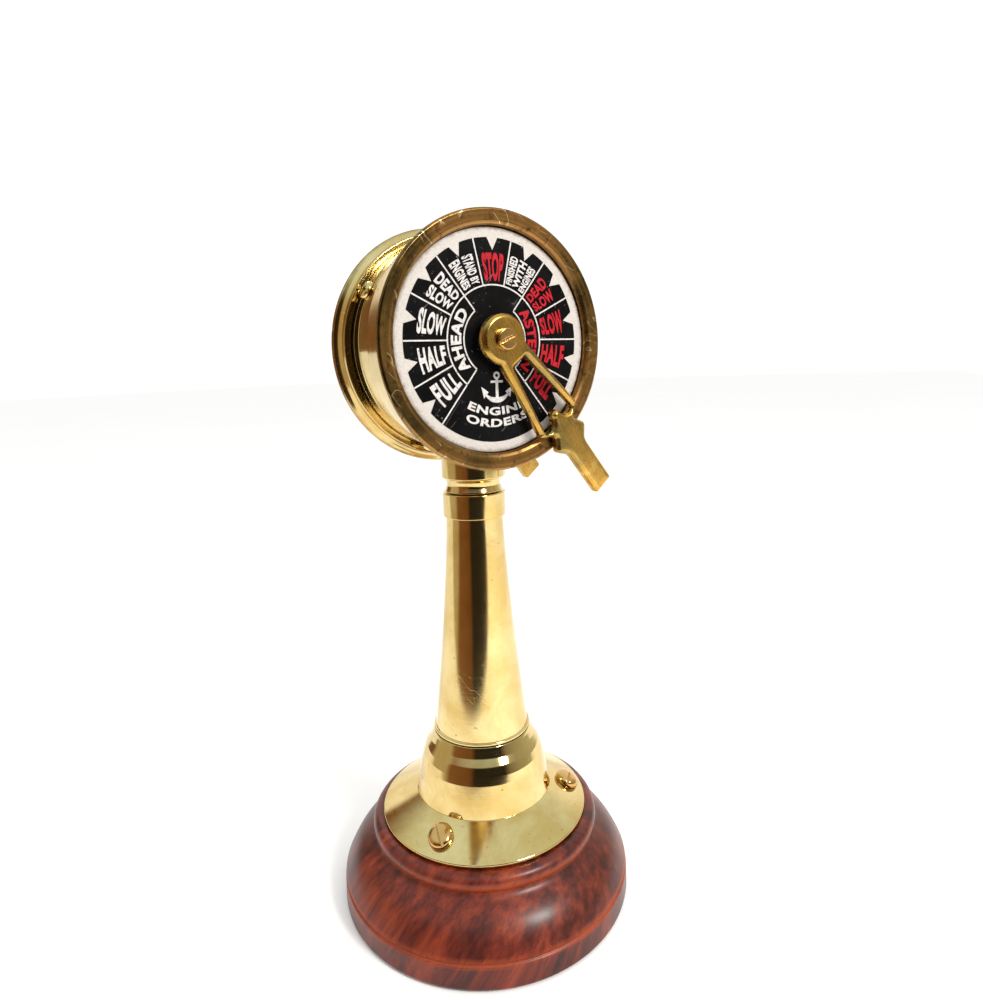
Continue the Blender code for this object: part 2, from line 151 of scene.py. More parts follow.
class Finish:
    """A material's or world's nodes. Each method adds some and returns their output socket."""

    def __init__(self, owner, coordinates="Object"):
        self.owner = owner
        owner.use_nodes = True
        self.tree = owner.node_tree
        self.where = self.node("ShaderNodeTexCoord").outputs[coordinates]

    def feed(self, node, inputs):
        """Links or sets each of the node's inputs that is named, by its name or its number."""
        for key, value in inputs.items():
            if isinstance(value, bpy.types.NodeSocket):
                self.tree.links.new(value, node.inputs[key])
            else:
                node.inputs[key].default_value = value

    def node(self, kind, inputs=None, **settings):
        made = self.tree.nodes.new(kind)
        for key, value in settings.items():
            setattr(made, key, value)
        self.feed(made, inputs or {})
        return made

    def maths(self, operation, *values):
        return self.node("ShaderNodeMath", dict(enumerate(values)), operation=operation).outputs["Value"]

    def times(self, a, b):
        return self.maths("MULTIPLY", a, b)

    def plus(self, a, b):
        return self.maths("ADD", a, b)

    def minus(self, a, b):
        return self.maths("SUBTRACT", a, b)

    def most(self, a, b):
        return self.maths("MAXIMUM", a, b)

    def axes(self):
        """The place on the object as its X, Y and Z."""
        return tuple(self.node("ShaderNodeSeparateXYZ", {"Vector": self.where}).outputs)

    def radius(self):
        """Distance from the object's own Z axis, in metres."""
        x, y = self.axes()[:2]
        return self.maths("SQRT", self.plus(self.times(x, x), self.times(y, y)))

    def mapped(self, scale, turn_deg=(0, 0, 0)):
        """Turns the coordinates first and then stretches them, so a grain can run at a slant."""
        angles = [radians(a) for a in turn_deg]
        aimed = self.node("ShaderNodeMapping", {"Vector": self.where, "Rotation": angles})
        stretched = self.node("ShaderNodeMapping", {"Vector": aimed.outputs["Vector"], "Scale": scale})
        return stretched.outputs["Vector"]

    def noise(self, scale, detail=3.0, rough=0.5, source=None, warp=0.0):
        inputs = {
            "Vector": source or self.where, "Scale": scale, "Detail": detail, "Roughness": rough,
            "Distortion": warp,
        }
        return self.node("ShaderNodeTexNoise", inputs).outputs["Fac"]

    def ramp(self, value, stops):
        made = self.node("ShaderNodeValToRGB", {"Fac": value})
        band = made.color_ramp
        while len(band.elements) < len(stops):
            band.elements.new(0.5)
        for element, (position, colour) in zip(band.elements, stops):
            element.position = position
            element.color = colour
        return made.outputs["Color"]

    def spread(self, value, low, high, to_low=0.0, to_high=1.0):
        inputs = {"Value": value, "From Min": low, "From Max": high, "To Min": to_low, "To Max": to_high}
        return self.node("ShaderNodeMapRange", inputs).outputs["Result"]

    def belt(self, value, starts, full, fades, gone):
        """1 from full to fades, falling to 0 at starts and gone. All four are millimetres."""
        rise = self.spread(value, starts * MM, full * MM)
        fall = self.spread(value, gone * MM, fades * MM)
        return self.times(rise, fall)

    def blend(self, factor, a, b):
        return self.node("ShaderNodeMix", {"Factor": factor, 6: a, 7: b}, data_type="RGBA").outputs[2]

    def stain(self, colour, tint, pattern, low, high, most=1.0):
        """Tints the colour where the pattern is high."""
        return self.blend(self.spread(pattern, low, high, 0.0, most), colour, tint)

    def bump(self, height, distance, strength=1.0):
        inputs = {"Strength": strength, "Distance": distance, "Height": height}
        return self.node("ShaderNodeBump", inputs).outputs["Normal"]

    def lathe_marks(self, fineness):
        """Noise drawn out round the object's Z axis, as a turning tool leaves it."""
        x, y, z = self.axes()
        slant = self.maths("MULTIPLY_ADD", z, 1.3, self.radius())
        inputs = {"X": self.times(x, 12.0), "Y": self.times(y, 12.0), "Z": self.times(slant, fineness)}
        return self.noise(1.0, 4.0, 0.6, self.node("ShaderNodeCombineXYZ", inputs).outputs["Vector"])

    def scratches(self, scale, lean_deg, width=0.012, share=0.56):
        """Thin broken lines lying roughly one way."""
        lines = self.noise(1.0, 1.0, 0.4, self.mapped((scale, scale * 0.05, scale * 0.3), lean_deg))
        offset = self.maths("ABSOLUTE", self.minus(lines, 0.5))
        thin = self.spread(offset, 0.0, width, 1.0, 0.0)
        where = self.noise(scale * 0.35, 2.0, 0.6)
        return self.times(thin, self.spread(where, share, share + 0.05))

    def specks(self, scale, detail, rough, low, high, most=1.0):
        """Small spots where fine noise is highest."""
        return self.spread(self.noise(scale, detail, rough), low, high, 0.0, most)

    def surface(self, colour, roughness, normal=None, **fixed):
        inputs = {"Base Color": colour, "Roughness": roughness}
        if normal is not None:
            inputs["Normal"] = normal
        inputs.update((key.replace("_", " "), value) for key, value in fixed.items())
        self.feed(self.tree.nodes["Principled BSDF"], inputs)
        return self.owner


# Brass in three tones: bright, deep and tarnished
GOLD = (srgb(228, 206, 148), srgb(208, 178, 110), srgb(140, 102, 50))
COPPERY = (srgb(222, 182, 118), srgb(190, 142, 80), srgb(96, 62, 32))


def clouded(make, bright, deep):
    """Cloudy metal between two tones: its cloud and its colour."""
    cloud = make.noise(55.0, 5.0, 0.62, warp=0.4)
    return cloud, make.stain(bright, deep, cloud, 0.38, 0.62)


def brass(make, tones, rough_low, rough_high, tarnish_share, marks=2600.0):
    """Turned brass: yellow metal with cloudy tarnish, turning marks, pits and fine scratches."""
    bright, deep, tarnish = tones
    cloud, base = clouded(make, bright, deep)
    stain_noise = make.noise(130.0, 6.0, 0.7, warp=0.8)
    stain = make.spread(stain_noise, 1.0 - tarnish_share, 1.18 - tarnish_share)
    pits = make.specks(900.0, 2.0, 0.5, 0.70, 0.76)
    dirt = make.most(stain, pits)
    colour = make.blend(make.times(dirt, 0.75), base, tarnish)
    turned_marks = make.lathe_marks(marks)
    wear = make.plus(make.times(cloud, 0.5), make.times(turned_marks, 0.5))
    roughness = make.plus(make.spread(wear, 0.35, 0.65, rough_low, rough_high), make.times(dirt, 0.12))
    lines = make.scratches(420.0, (20, 35, 50))
    height = make.minus(make.times(turned_marks, 0.35), make.plus(pits, lines))
    return make.surface(colour, roughness, make.bump(height, 0.00001, 0.35), Metallic=1.0)


def aged_brass(make):
    """Bezels: bright turned sides, and a face with brown patina worn through to copper and gold."""
    clean = clouded(make, *GOLD[:2])[1]
    patina = make.noise(34.0, 5.0, 0.6, warp=0.8)
    worn = make.ramp(patina, [
        (0.34, srgb(88, 74, 46)), (0.46, srgb(118, 94, 54)), (0.55, srgb(146, 110, 62)),
        (0.66, srgb(150, 108, 62)), (0.78, srgb(194, 152, 92)),
    ])
    rings = make.lathe_marks(900.0)
    worn = make.stain(worn, srgb(200, 150, 92), rings, 0.50, 0.70, 0.6)
    mottled = make.noise(420.0, 4.0, 0.65)
    worn = make.stain(worn, srgb(70, 52, 32), mottled, 0.54, 0.66, 0.7)
    ragged = make.maths("MULTIPLY_ADD", make.noise(300.0, 3.0, 0.6), 1.2 * MM, make.axes()[2])
    face = make.spread(ragged, (RIM_W - 1.4) * MM, (RIM_W - 0.3) * MM)
    bore = make.spread(make.radius(), (SEAT_R + 0.9) * MM, (SEAT_R + 0.5) * MM)
    aged = make.most(face, bore)
    lines = make.most(make.scratches(300.0, (10, 20, 35)), make.scratches(360.0, (60, 10, 115)))
    colour = make.blend(make.times(lines, 0.8), make.blend(aged, clean, worn), srgb(250, 226, 180))
    rough_face = make.spread(patina, 0.3, 0.7, 0.20, 0.36)
    roughness = make.times(make.spread(aged, 0.0, 1.0, 0.45, 1.0), rough_face)
    height = make.minus(make.times(rings, 0.6), make.times(mottled, 0.5))
    normal = make.bump(make.minus(height, lines), 0.00002, 0.35)
    return make.surface(colour, roughness, normal, Metallic=1.0)


def lever_brass(make):
    """Cast lever: deep yellow brass with brown and olive clouding and a hand-filed grain."""
    cloud = make.noise(70.0, 4.0, 0.6, warp=1.2)
    colour = make.ramp(cloud, [
        (0.32, srgb(152, 132, 78)), (0.46, srgb(188, 150, 78)), (0.58, srgb(206, 160, 76)),
        (0.74, srgb(226, 194, 112)),
    ])
    pits = make.specks(1500.0, 2.0, 0.5, 0.68, 0.74)
    colour = make.blend(make.times(pits, 0.8), colour, srgb(72, 48, 20))
    filed = make.noise(1.0, 3.0, 0.6, make.mapped((260.0, 1800.0, 1800.0), (0, 0, 12)))
    lines = make.scratches(420.0, (15, 10, 70), 0.006, 0.66)
    roughness = make.plus(make.spread(filed, 0.3, 0.7, 0.22, 0.30), make.times(pits, 0.2))
    height = make.minus(make.times(filed, 0.06), make.plus(pits, lines))
    return make.surface(colour, roughness, make.bump(height, 0.000012, 0.4), Metallic=1.0)


def steel(make):
    grain = make.lathe_marks(3000.0)
    cloud = make.noise(300.0, 4.0, 0.6)
    colour = make.ramp(cloud, [(0.3, srgb(150, 148, 142)), (0.7, srgb(196, 194, 188))])
    rust = make.specks(700.0, 4.0, 0.7, 0.62, 0.74, 0.6)
    colour = make.blend(rust, colour, srgb(112, 84, 60))
    roughness = make.spread(grain, 0.3, 0.7, 0.24, 0.42)
    return make.surface(colour, roughness, make.bump(grain, 0.00001, 0.4), Metallic=1.0)


# Heights of the plinth's upper edge and of the bead, where a paler orange is painted on as a highlight
PLINTH_EDGE_HIGHLIGHT = (5.8, 6.6, 7.2, 8.6)
BEAD_HIGHLIGHT = (18.0, 19.2, 20.0, 21.4)


def lacquered_wood(make):
    """Reddish rosewood turned across its grain: dark streaks, short pores and a gloss coat."""
    lean = (-17, -27, 0)
    drift = make.noise(24.0, 3.0, 0.5)
    streak = make.noise(1.0, 4.0, 0.6, make.mapped((420.0, 420.0, 7.0), lean), 0.15)
    broad = make.noise(1.0, 2.0, 0.5, make.mapped((110.0, 110.0, 4.0), lean), 0.1)
    tone = make.plus(make.times(streak, 0.5), make.times(broad, 0.5))
    colour = make.ramp(tone, [
        (0.34, srgb(44, 12, 7)), (0.44, srgb(74, 22, 11)), (0.51, srgb(97, 31, 15)),
        (0.58, srgb(118, 42, 18)), (0.70, srgb(144, 58, 25)),
    ])
    colour = make.stain(colour, srgb(48, 14, 10), drift, 0.46, 0.66, 0.6)
    height = make.axes()[2]
    # Painted highlight: a paler orange in patches along the plinth's upper edge and the bead
    edges = make.most(make.belt(height, *PLINTH_EDGE_HIGHLIGHT), make.belt(height, *BEAD_HIGHLIGHT))
    edge_highlight = make.times(edges, make.spread(drift, 0.3, 0.6, 0.25, 0.7))
    colour = make.blend(edge_highlight, colour, srgb(168, 72, 34))
    pore_noise = make.noise(1.0, 2.0, 0.5, make.mapped((2300.0, 2300.0, 210.0), lean))
    pores = make.spread(pore_noise, 0.63, 0.70)
    colour = make.blend(make.times(pores, 0.55), colour, srgb(48, 16, 12))
    ripple = make.noise(260.0, 3.0, 0.5)
    relief = make.minus(make.times(ripple, 0.6), make.times(pores, 0.5))
    roughness = make.spread(streak, 0.3, 0.7, 0.34, 0.44)
    return make.surface(
        colour, roughness, make.bump(relief, 0.00006, 0.35), Coat_Weight=0.25, Coat_Roughness=0.24,
        Coat_Normal=make.bump(ripple, 0.00005, 0.25), Specular_IOR_Level=0.25,
    )


def ink(make, light, dull, speck, roughness):
    """Screen-printed ink with worn, grainy cover."""
    grain = make.noise(1900.0, 4.0, 0.7)
    cloud = make.noise(260.0, 3.0, 0.6)
    colour = make.stain(light, dull, grain, 0.42, 0.66)
    colour = make.stain(colour, dull, cloud, 0.55, 0.75, 0.5)
    colour = make.blend(make.specks(1200.0, 2.0, 0.6, 0.67, 0.71), colour, speck)
    return make.surface(colour, roughness, make.bump(grain, 0.00001, 0.3), Specular_IOR_Level=0.2)


def dial_white(make):
    """Off-white enamel of the dial plate, darkened to brown along its edge beside the bezel: some grime
    there and painted shade from the bezel's wall.
    """
    grain = make.noise(1500.0, 4.0, 0.7)
    colour = make.stain(srgb(190, 183, 176), srgb(176, 168, 161), grain, 0.40, 0.68)
    # Grime and painted shade: a ragged brown band along the dial's edge, where the bezel's wall shades it
    edge = make.spread(make.radius(), (DIAL_R - 1.7) * MM, DIAL_R * MM)
    ragged = make.times(make.noise(650.0, 5.0, 0.7), 1.4)
    colour = make.stain(colour, srgb(96, 70, 52), make.plus(edge, ragged), 1.15, 1.7, 0.6)
    colour = make.blend(make.specks(800.0, 2.0, 0.5, 0.74, 0.78, 0.8), colour, srgb(70, 46, 36))
    return make.surface(colour, 0.5, make.bump(grain, 0.00001, 0.15), Specular_IOR_Level=0.3)


def dial_black(make):
    """Black dial enamel with pale hairline scratches and dust specks."""
    cloud = make.noise(120.0, 4.0, 0.6)
    colour = make.ramp(cloud, [(0.35, srgb(2, 2, 3)), (0.65, srgb(9, 8, 11))])
    down = make.scratches(260.0, (0, 0, 40), 0.008, 0.58)
    across = make.scratches(300.0, (0, 0, 118), 0.006, 0.60)
    dust = make.specks(1300.0, 2.0, 0.5, 0.72, 0.76, 0.7)
    marks = make.most(make.times(make.most(down, across), 0.4), dust)
    colour = make.blend(marks, colour, srgb(150, 144, 140))
    roughness = make.plus(make.spread(cloud, 0.3, 0.7, 0.30, 0.40), make.times(marks, 0.3))
    return make.surface(colour, roughness, make.bump(cloud, 0.00001, 0.2), Specular_IOR_Level=0.12)


def felt(make):
    fibre = make.noise(1400.0, 5.0, 0.75, warp=1.5)
    cloud = make.noise(120.0, 3.0, 0.5)
    colour = make.ramp(fibre, [(0.3, srgb(16, 44, 30)), (0.7, srgb(40, 84, 58))])
    colour = make.stain(colour, srgb(24, 58, 44), cloud, 0.4, 0.7, 0.4)
    return make.surface(colour, 0.95, make.bump(fibre, 0.0002, 0.7), Sheen_Weight=0.3)


RECIPES = {
    "polished_brass": (brass, GOLD, 0.07, 0.15, 0.34),
    "aged_brass": (aged_brass,),
    "lever_brass": (lever_brass,),
    "screw_brass": (brass, COPPERY, 0.12, 0.24, 0.38, 4200.0),
    "steel": (steel,),
    "lacquered_wood": (lacquered_wood,),
    "felt": (felt,),
    "dial_white": (dial_white,),
    "dial_black": (dial_black,),
    "white_ink": (ink, srgb(206, 202, 198), srgb(168, 162, 158), srgb(70, 66, 66), 0.45),
    "red_ink": (ink, srgb(178, 18, 32), srgb(138, 12, 24), srgb(60, 10, 16), 0.42),
}
MATERIALS = {
    name: recipe(Finish(bpy.data.materials.new(name)), *settings)
    for name, (recipe, *settings) in RECIPES.items()
}


# ---------------- meshes

def add_object(name, data):
    made = bpy.data.objects.new(name, data)
    bpy.context.scene.collection.objects.link(made)
    return made


def add_piece(name, mesh, finish, node, stand=Matrix.Identity(4), body="root", even=True):
    """Puts a mesh in the scene with its finish, on its body, in place of its CAD node."""
    mesh.name = name
    mesh.materials.clear()
    mesh.materials.append(MATERIALS[finish])
    piece = add_object(name, mesh)
    piece.matrix_world = stand
    if even:
        normals = piece.modifiers.new("even_normals", "WEIGHTED_NORMAL")
        normals.keep_sharp = True
    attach(piece, body)
    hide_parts(node)


def smooth(mesh, sharp_deg=50):
    mesh.shade_smooth()
    mesh.set_sharp_from_angle(angle=radians(sharp_deg))
    return mesh


def finish_mesh(bm, sharp_deg=50):
    """Turns a bmesh in millimetres into a mesh in metres."""
    bmesh.ops.recalc_face_normals(bm, faces=bm.faces)
    bmesh.ops.scale(bm, vec=(MM, MM, MM), verts=bm.verts)
    mesh = bpy.data.meshes.new("mesh")
    bm.to_mesh(mesh)
    bm.free()
    return smooth(mesh, sharp_deg)


def arc(centre, radius, start_deg, end_deg, steps):
    points = []
    for i in range(steps + 1):
        a = radians(start_deg + (end_deg - start_deg) * i / steps)
        points.append((centre[0] + radius * cos(a), centre[1] + radius * sin(a)))
    return points


def rounded(outline, steps=4):
    """Swaps each outline corner that names a third value, its radius, for an arc."""
    points = []
    for i, corner in enumerate(outline):
        here = Vector(corner[:2])
        if len(corner) < 3:
            points.append((here.x, here.y))
            continue
        back = Vector(outline[i - 1][:2]) - here
        ahead = Vector(outline[(i + 1) % len(outline)][:2]) - here
        half = back.angle(ahead) / 2
        reach = min(corner[2] / tan(half), back.length * 0.48, ahead.length * 0.48)
        radius = reach * tan(half)
        back.normalize()
        ahead.normalize()
        centre = here + (back + ahead).normalized() * radius / sin(half)
        start = here + back * reach - centre
        end = here + ahead * reach - centre
        sweep = pi - 2 * half
        for k in range(steps + 1):
            t = k / steps
            spoke = (start * sin((1 - t) * sweep) + end * sin(t * sweep)) / sin(sweep)
            points.append((centre.x + spoke.x, centre.y + spoke.y))
    return points


def turned(outline, segments=192):
    """A closed body turned about Z from an outline of (radius, height) points."""
    verts = []
    rings = []
    for r, h in rounded(outline):
        first = len(verts)
        if r < 1e-6:
            verts.append((0, 0, h))
            rings.append([first] * segments)
            continue
        for k in range(segments):
            a = tau * k / segments
            verts.append((r * cos(a), r * sin(a), h))
        rings.append(list(range(first, first + segments)))
    pairs = list(zip(rings, rings[1:]))
    if outline[0][0] > 0:
        pairs.append((rings[-1], rings[0]))
    bm = bmesh.new()
    made = [bm.verts.new(v) for v in verts]
    for low, high in pairs:
        for k in range(segments):
            n = (k + 1) % segments
            corners = dict.fromkeys((low[k], low[n], high[n], high[k]))
            if len(corners) > 2:
                bm.faces.new([made[c] for c in corners])
    return finish_mesh(bm)


def cut_mesh(mesh, cutters, bevel=0.0):
    """Returns the mesh with the cutter meshes taken out, and its cut edges broken slightly."""
    body = add_object("work", mesh)
    tools = []
    for cutter, matrix in cutters:
        tool = add_object("tool", cutter)
        tool.matrix_world = matrix
        tools.append(tool)
        cut = body.modifiers.new("cut", "BOOLEAN")
        cut.operation = "DIFFERENCE"
        cut.object = tool
    if bevel:
        edge = body.modifiers.new("edge", "BEVEL")
        edge.width = bevel * MM
        edge.segments = 2
        edge.limit_method = "ANGLE"
        edge.angle_limit = radians(40)
    bpy.context.view_layer.update()
    graph = bpy.context.evaluated_depsgraph_get()
    result = bpy.data.meshes.new_from_object(body.evaluated_get(graph))
    for used in tools + [body]:
        bpy.data.objects.remove(used, do_unlink=True)
    return smooth(result)


# ---------------- base, foot and column

SIDE_HEAD = Vector((33.9, WOOD_TOP - 5.4))    # where the base's sloping side meets its bead
SIDE_SWELL = Vector((0.9, 0.9))
SIDE_STEPS = 12
BEAD_R = 2.5
BEAD_MIDDLE_R = 31.8


def build_base():
    felt_disc = [(0, 0), (FELT_R, 0, 0.3), (FELT_R, FELT_TOP, 0.3), (0, FELT_TOP)]
    add_piece("felt_pad", turned(felt_disc, 96), "felt", "base_felt")

    recess_top = FELT_TOP + GAP
    recess_r = FELT_R + GAP
    side_foot = Vector((PLINTH_R - 0.2, PLINTH_TOP + 1.2))
    side = []
    for i in range(SIDE_STEPS + 1):
        t = i / SIDE_STEPS
        spot = side_foot.lerp(SIDE_HEAD, t) + SIDE_SWELL * sin(pi * t)
        side.append((spot.x, spot.y))
    bead = arc((BEAD_MIDDLE_R, WOOD_TOP - BEAD_R), BEAD_R, -50, 90, 12)
    outline = [
        (0, recess_top), (recess_r, recess_top), (recess_r, WOOD_BOTTOM), (PLINTH_R, WOOD_BOTTOM, 0.9),
        (PLINTH_R, PLINTH_TOP, 0.8), (PLINTH_R - 0.7, PLINTH_TOP + 0.45, 0.2),
        *side, *bead, (0, WOOD_TOP),
    ]
    add_piece("turned_base", turned(outline), "lacquered_wood", "wooden_base")


def flange_screw_seats():
    """Frames at the three screws, with +Z along the normal of the conical flange."""
    run = FLANGE_R - NECK_R
    tilt = degrees(atan2(FLANGE_RISE, run))
    height = FLANGE_EDGE_TOP + FLANGE_RISE * (FLANGE_R - FLANGE_SCREW_R) / run
    for i in range(3):
        spin = turn("Z", FLANGE_SCREW_FIRST_DEG + 120 * i)
        yield spin @ place(FLANGE_SCREW_R, 0, height) @ turn("Y", tilt)


def build_foot():
    outline = [
        (ROD_HOLE_R, WEB_BOTTOM), (13.5, WEB_BOTTOM), (16.4, 37.5), (17.6, 30.0), (19.5, 26.0),
        (21.5, FLANGE_BOTTOM), (FLANGE_R, FLANGE_BOTTOM, 0.3), (FLANGE_R, FLANGE_EDGE_TOP, 0.45),
        (NECK_R, FLANGE_EDGE_TOP + FLANGE_RISE, 0.25), (18.9, 38.2, 0.3), (18.3, 40.4, 2.5),
        (17.4, 42.6, 3.0), (16.0, 44.6, 3.0), (15.1, 46.4, 1.5), (COLUMN_RING_R, FOOT_TOP, 0.2),
        (SPIGOT_R, FOOT_TOP), (SPIGOT_R, SPIGOT_TOP), (ROD_HOLE_R, SPIGOT_TOP),
    ]
    add_piece("foot", turned(outline), "polished_brass", "foot_flange")


# Column: radii of its taper and collar, the taper's curve, and the socket at its top
TAPER_FOOT_R = 14.2
TAPER_NECK_R = 8.75
TAPER_POWER = 1.35
TAPER_STEPS = 32
COLLAR_R = 9.6
COLLAR_BOTTOM = COLUMN_TOP - 7.5
SOCKET_R = 6.3
SOCKET_DEPTH = 7.1
SOCKET_FLOOR = 4.0


def build_column():
    taper_bottom = COLUMN_BOTTOM + 0.9
    socket_bottom = COLUMN_TOP - SOCKET_DEPTH
    outline = [
        (SPIGOT_R + GAP, 53.0), (SPIGOT_R + GAP, COLUMN_BOTTOM), (COLUMN_RING_R, COLUMN_BOTTOM, 0.25),
        (COLUMN_RING_R, COLUMN_BOTTOM + 0.75, 0.3),
    ]
    for i in range(TAPER_STEPS + 1):
        t = i / TAPER_STEPS
        radius = TAPER_NECK_R + (TAPER_FOOT_R - TAPER_NECK_R) * (1 - t) ** TAPER_POWER
        outline.append((radius, taper_bottom + (COLLAR_BOTTOM - taper_bottom) * t))
    outline += [
        (COLLAR_R, COLLAR_BOTTOM + 0.25, 0.3), (COLLAR_R, COLUMN_TOP, 0.3), (SOCKET_R, COLUMN_TOP),
        (SOCKET_R, socket_bottom), (ROD_HOLE_R, socket_bottom), (ROD_HOLE_R, socket_bottom - SOCKET_FLOOR),
        (SOCKET_R, socket_bottom - SOCKET_FLOOR - 0.5),
    ]
    add_piece("tapered_column", turned(outline, 128), "polished_brass", "column")


# Ferrule: its spigot in the column, and the space that it leaves for the front bezel's skirt
FERRULE_SPIGOT_R = SOCKET_R - GAP
FERRULE_SPIGOT = 6.9
SKIRT_SPACE_R = 35.5
SKIRT_SPACE_W = 2.7
TOOL_REACH = 20


def hollow(radius, start_w):
    """A cutter as wide as a part of the head, from start_w along the shaft to the front."""
    outline = [(0, start_w), (radius, start_w), (radius, TOOL_REACH), (0, TOOL_REACH)]
    return turned(outline), FRONT


def build_ferrule():
    seat = COLUMN_TOP + GAP
    spigot_end = seat - FERRULE_SPIGOT
    crown = HEAD_Z - DRUM_R + 3
    outline = [
        (ROD_HOLE_R, spigot_end), (FERRULE_SPIGOT_R, spigot_end), (FERRULE_SPIGOT_R, seat),
        (8.9, seat, 0.2), (8.6, seat + 0.7, 0.3), (8.1, seat + 2.0, 1.5), (8.5, seat + 3.2, 1.0),
        (9.1, seat + 4.0, 0.4), (FERRULE_R, seat + 4.4, 0.3), (FERRULE_R, crown), (ROD_HOLE_R, crown),
    ]
    tools = [hollow(DRUM_R + 0.1, -TOOL_REACH), hollow(SKIRT_SPACE_R, SKIRT_SPACE_W)]
    add_piece("ferrule", cut_mesh(turned(outline, 96), tools), "polished_brass", "head_ferrule")


# ---------------- drum, bezels, dial plates

# Drum: its wall, and the fine groove and low ridge towards the rear bezel
DRUM_WALL = 1.3
GROOVE_W = -10.05
GROOVE_DEPTH = 0.12
RIDGE_W = -6.45
RIDGE_HEIGHT = 0.15

# Bezels: where the sleeve ends, and the radius and the end of the skirt
BEZEL_BACKS = {"front": (9.0, 34.5, 3.0), "rear": (5.0, 35.2, 11.8)}
BEZEL_FLARE = [(35.4, 13.6, 0.8), (36.1, 15.0, 0.8), (37.1, 15.6, 0.4), (RIM_R, 16.2, 0.35)]
SLEEVE_R = DRUM_R - 1.6
SLEEVE_WALL = 1.2

# Bushes: radius of the tube, where its back end is, and the flange's thickness
BUSH_TUBE_R = 4.0
BUSH_BACK_W = 10.5
BUSH_FLANGE = 0.6

# Domed screw heads: height of the edge as a share of the head, and how square the dome is
DOME_EDGE = 0.3
DOME_POWER = 0.6
DOME_STEPS = 12


def build_drum():
    inner = DRUM_R - DRUM_WALL
    proud = DRUM_R + RIDGE_HEIGHT
    outline = [
        (inner, -DRUM_HALF), (DRUM_R, -DRUM_HALF), (DRUM_R, GROOVE_W - 0.15),
        (DRUM_R - GROOVE_DEPTH, GROOVE_W), (DRUM_R, GROOVE_W + 0.15), (DRUM_R, RIDGE_W - 0.45),
        (proud, RIDGE_W - 0.15), (proud, RIDGE_W + 0.15), (DRUM_R, RIDGE_W + 0.45),
        (DRUM_R, DRUM_HALF), (inner, DRUM_HALF),
    ]
    add_piece("drum", turned(outline), "polished_brass", "case_drum", FRONT)


def build_bezels():
    inner = SLEEVE_R - SLEEVE_WALL
    shoulder_w = DRUM_HALF + GAP
    for side, stand in FACES.items():
        sleeve_end, skirt_r, skirt_w = BEZEL_BACKS[side]
        outline = [
            (inner, sleeve_end), (SLEEVE_R, sleeve_end), (SLEEVE_R, shoulder_w),
            (DRUM_R + GAP, shoulder_w), (DRUM_R + GAP, skirt_w), (skirt_r, skirt_w, 0.25),
            *BEZEL_FLARE, (RIM_R - 0.15, 16.9, 0.3), (RIM_R - 0.7, RIM_W, 0.4),
            (SEAT_R + 2.4, RIM_W - 0.12, 2.0), (SEAT_R + 1.1, RIM_W - 0.3, 1.0),
            (SEAT_R + 0.35, RIM_W - 0.7, 0.4), (SEAT_R, RIM_W - 1.3, 0.3),
            (SEAT_R, DIAL_BACK_W - GAP), (inner, DIAL_BACK_W - GAP),
        ]
        add_piece(side + "_rim", turned(outline), "aged_brass", side + "_bezel", stand)


def build_bushes():
    bore_r = SHAFT_R + RUNNING_FIT
    flange_w = BUSH_FACE_W - BUSH_FLANGE
    outline = [
        (bore_r, BUSH_BACK_W), (BUSH_TUBE_R, BUSH_BACK_W), (BUSH_TUBE_R, flange_w),
        (BUSH_FLANGE_R, flange_w, 0.15), (BUSH_FLANGE_R, BUSH_FACE_W, 0.2), (bore_r, BUSH_FACE_W, 0.1),
    ]
    for side, stand in FACES.items():
        add_piece(side + "_shaft_bush", turned(outline, 64), "screw_brass", side + "_bush", stand)


def screw_mesh(sizes, domed):
    head_r, head_h, shank_r, shank_l, slot_w, slot_d = sizes
    outline = [(0, -shank_l), (shank_r, -shank_l + shank_r), (shank_r, 0), (head_r, 0, 0.1)]
    if domed:
        for i in range(1, DOME_STEPS):
            a = radians(90 * i / DOME_STEPS)
            rise = DOME_EDGE + (1 - DOME_EDGE) * sin(a)
            outline.append((head_r * cos(a) ** DOME_POWER, head_h * rise))
    else:
        outline.append((head_r, head_h, 0.35))
    outline.append((0, head_h))
    bm = bmesh.new()
    bmesh.ops.create_cube(bm, size=1)
    bmesh.ops.scale(bm, vec=(3 * head_r, slot_w, 4), verts=bm.verts)
    bmesh.ops.translate(bm, vec=(0, 0, head_h - slot_d + 2), verts=bm.verts)
    return cut_mesh(turned(outline, 64), [(finish_mesh(bm), Matrix.Identity(4))], SLOT_EDGE)


def build_screws():
    """The screws sit a hair proud, so that no head's underside lies in the face it is driven into."""
    for i, seat in enumerate(flange_screw_seats(), 1):
        mesh = screw_mesh(FLANGE_SCREW, True)
        stand = seat @ place(0, 0, SEATING) @ turn("Z", 40 * i)
        add_piece(f"base_screw_{i}", mesh, "screw_brass", f"flange_screw_{i}", stand)
    for i in range(1, 4):
        around = turn("Y", CASE_SCREW_FIRST_DEG + CASE_SCREW_STEP_DEG * (i - 1))
        seat = place(0, CASE_SCREW_W, HEAD_Z) @ around @ place(0, 0, DRUM_R + SEATING)
        stand = seat @ turn("Z", 20 + 55 * i)
        mesh = screw_mesh(CASE_SCREW, True)
        add_piece(f"drum_screw_{i}", mesh, "polished_brass", f"case_screw_{i}", stand)


# ---------------- printed dials
# Dial angles run clockwise from the top, in degrees. A word's letters are set in a box of one
# by one and then bent into its share of the dial.

SECTOR = 360 / 14
PRINT_EDGE_R = 29.3
PRINT_MID_R = 15.8
PRINT_INNER_R = 10.5
NOTCH_HALF_DEG = 3.65
NOTCH_TIP_R = 25.65
LINE_W = 0.42
WORD_IN_R = 16.8
WORD_OUT_R = 25.3
LAST_LINE = 5.5 * SECTOR
FIRST_LINE = 1.5 * SECTOR

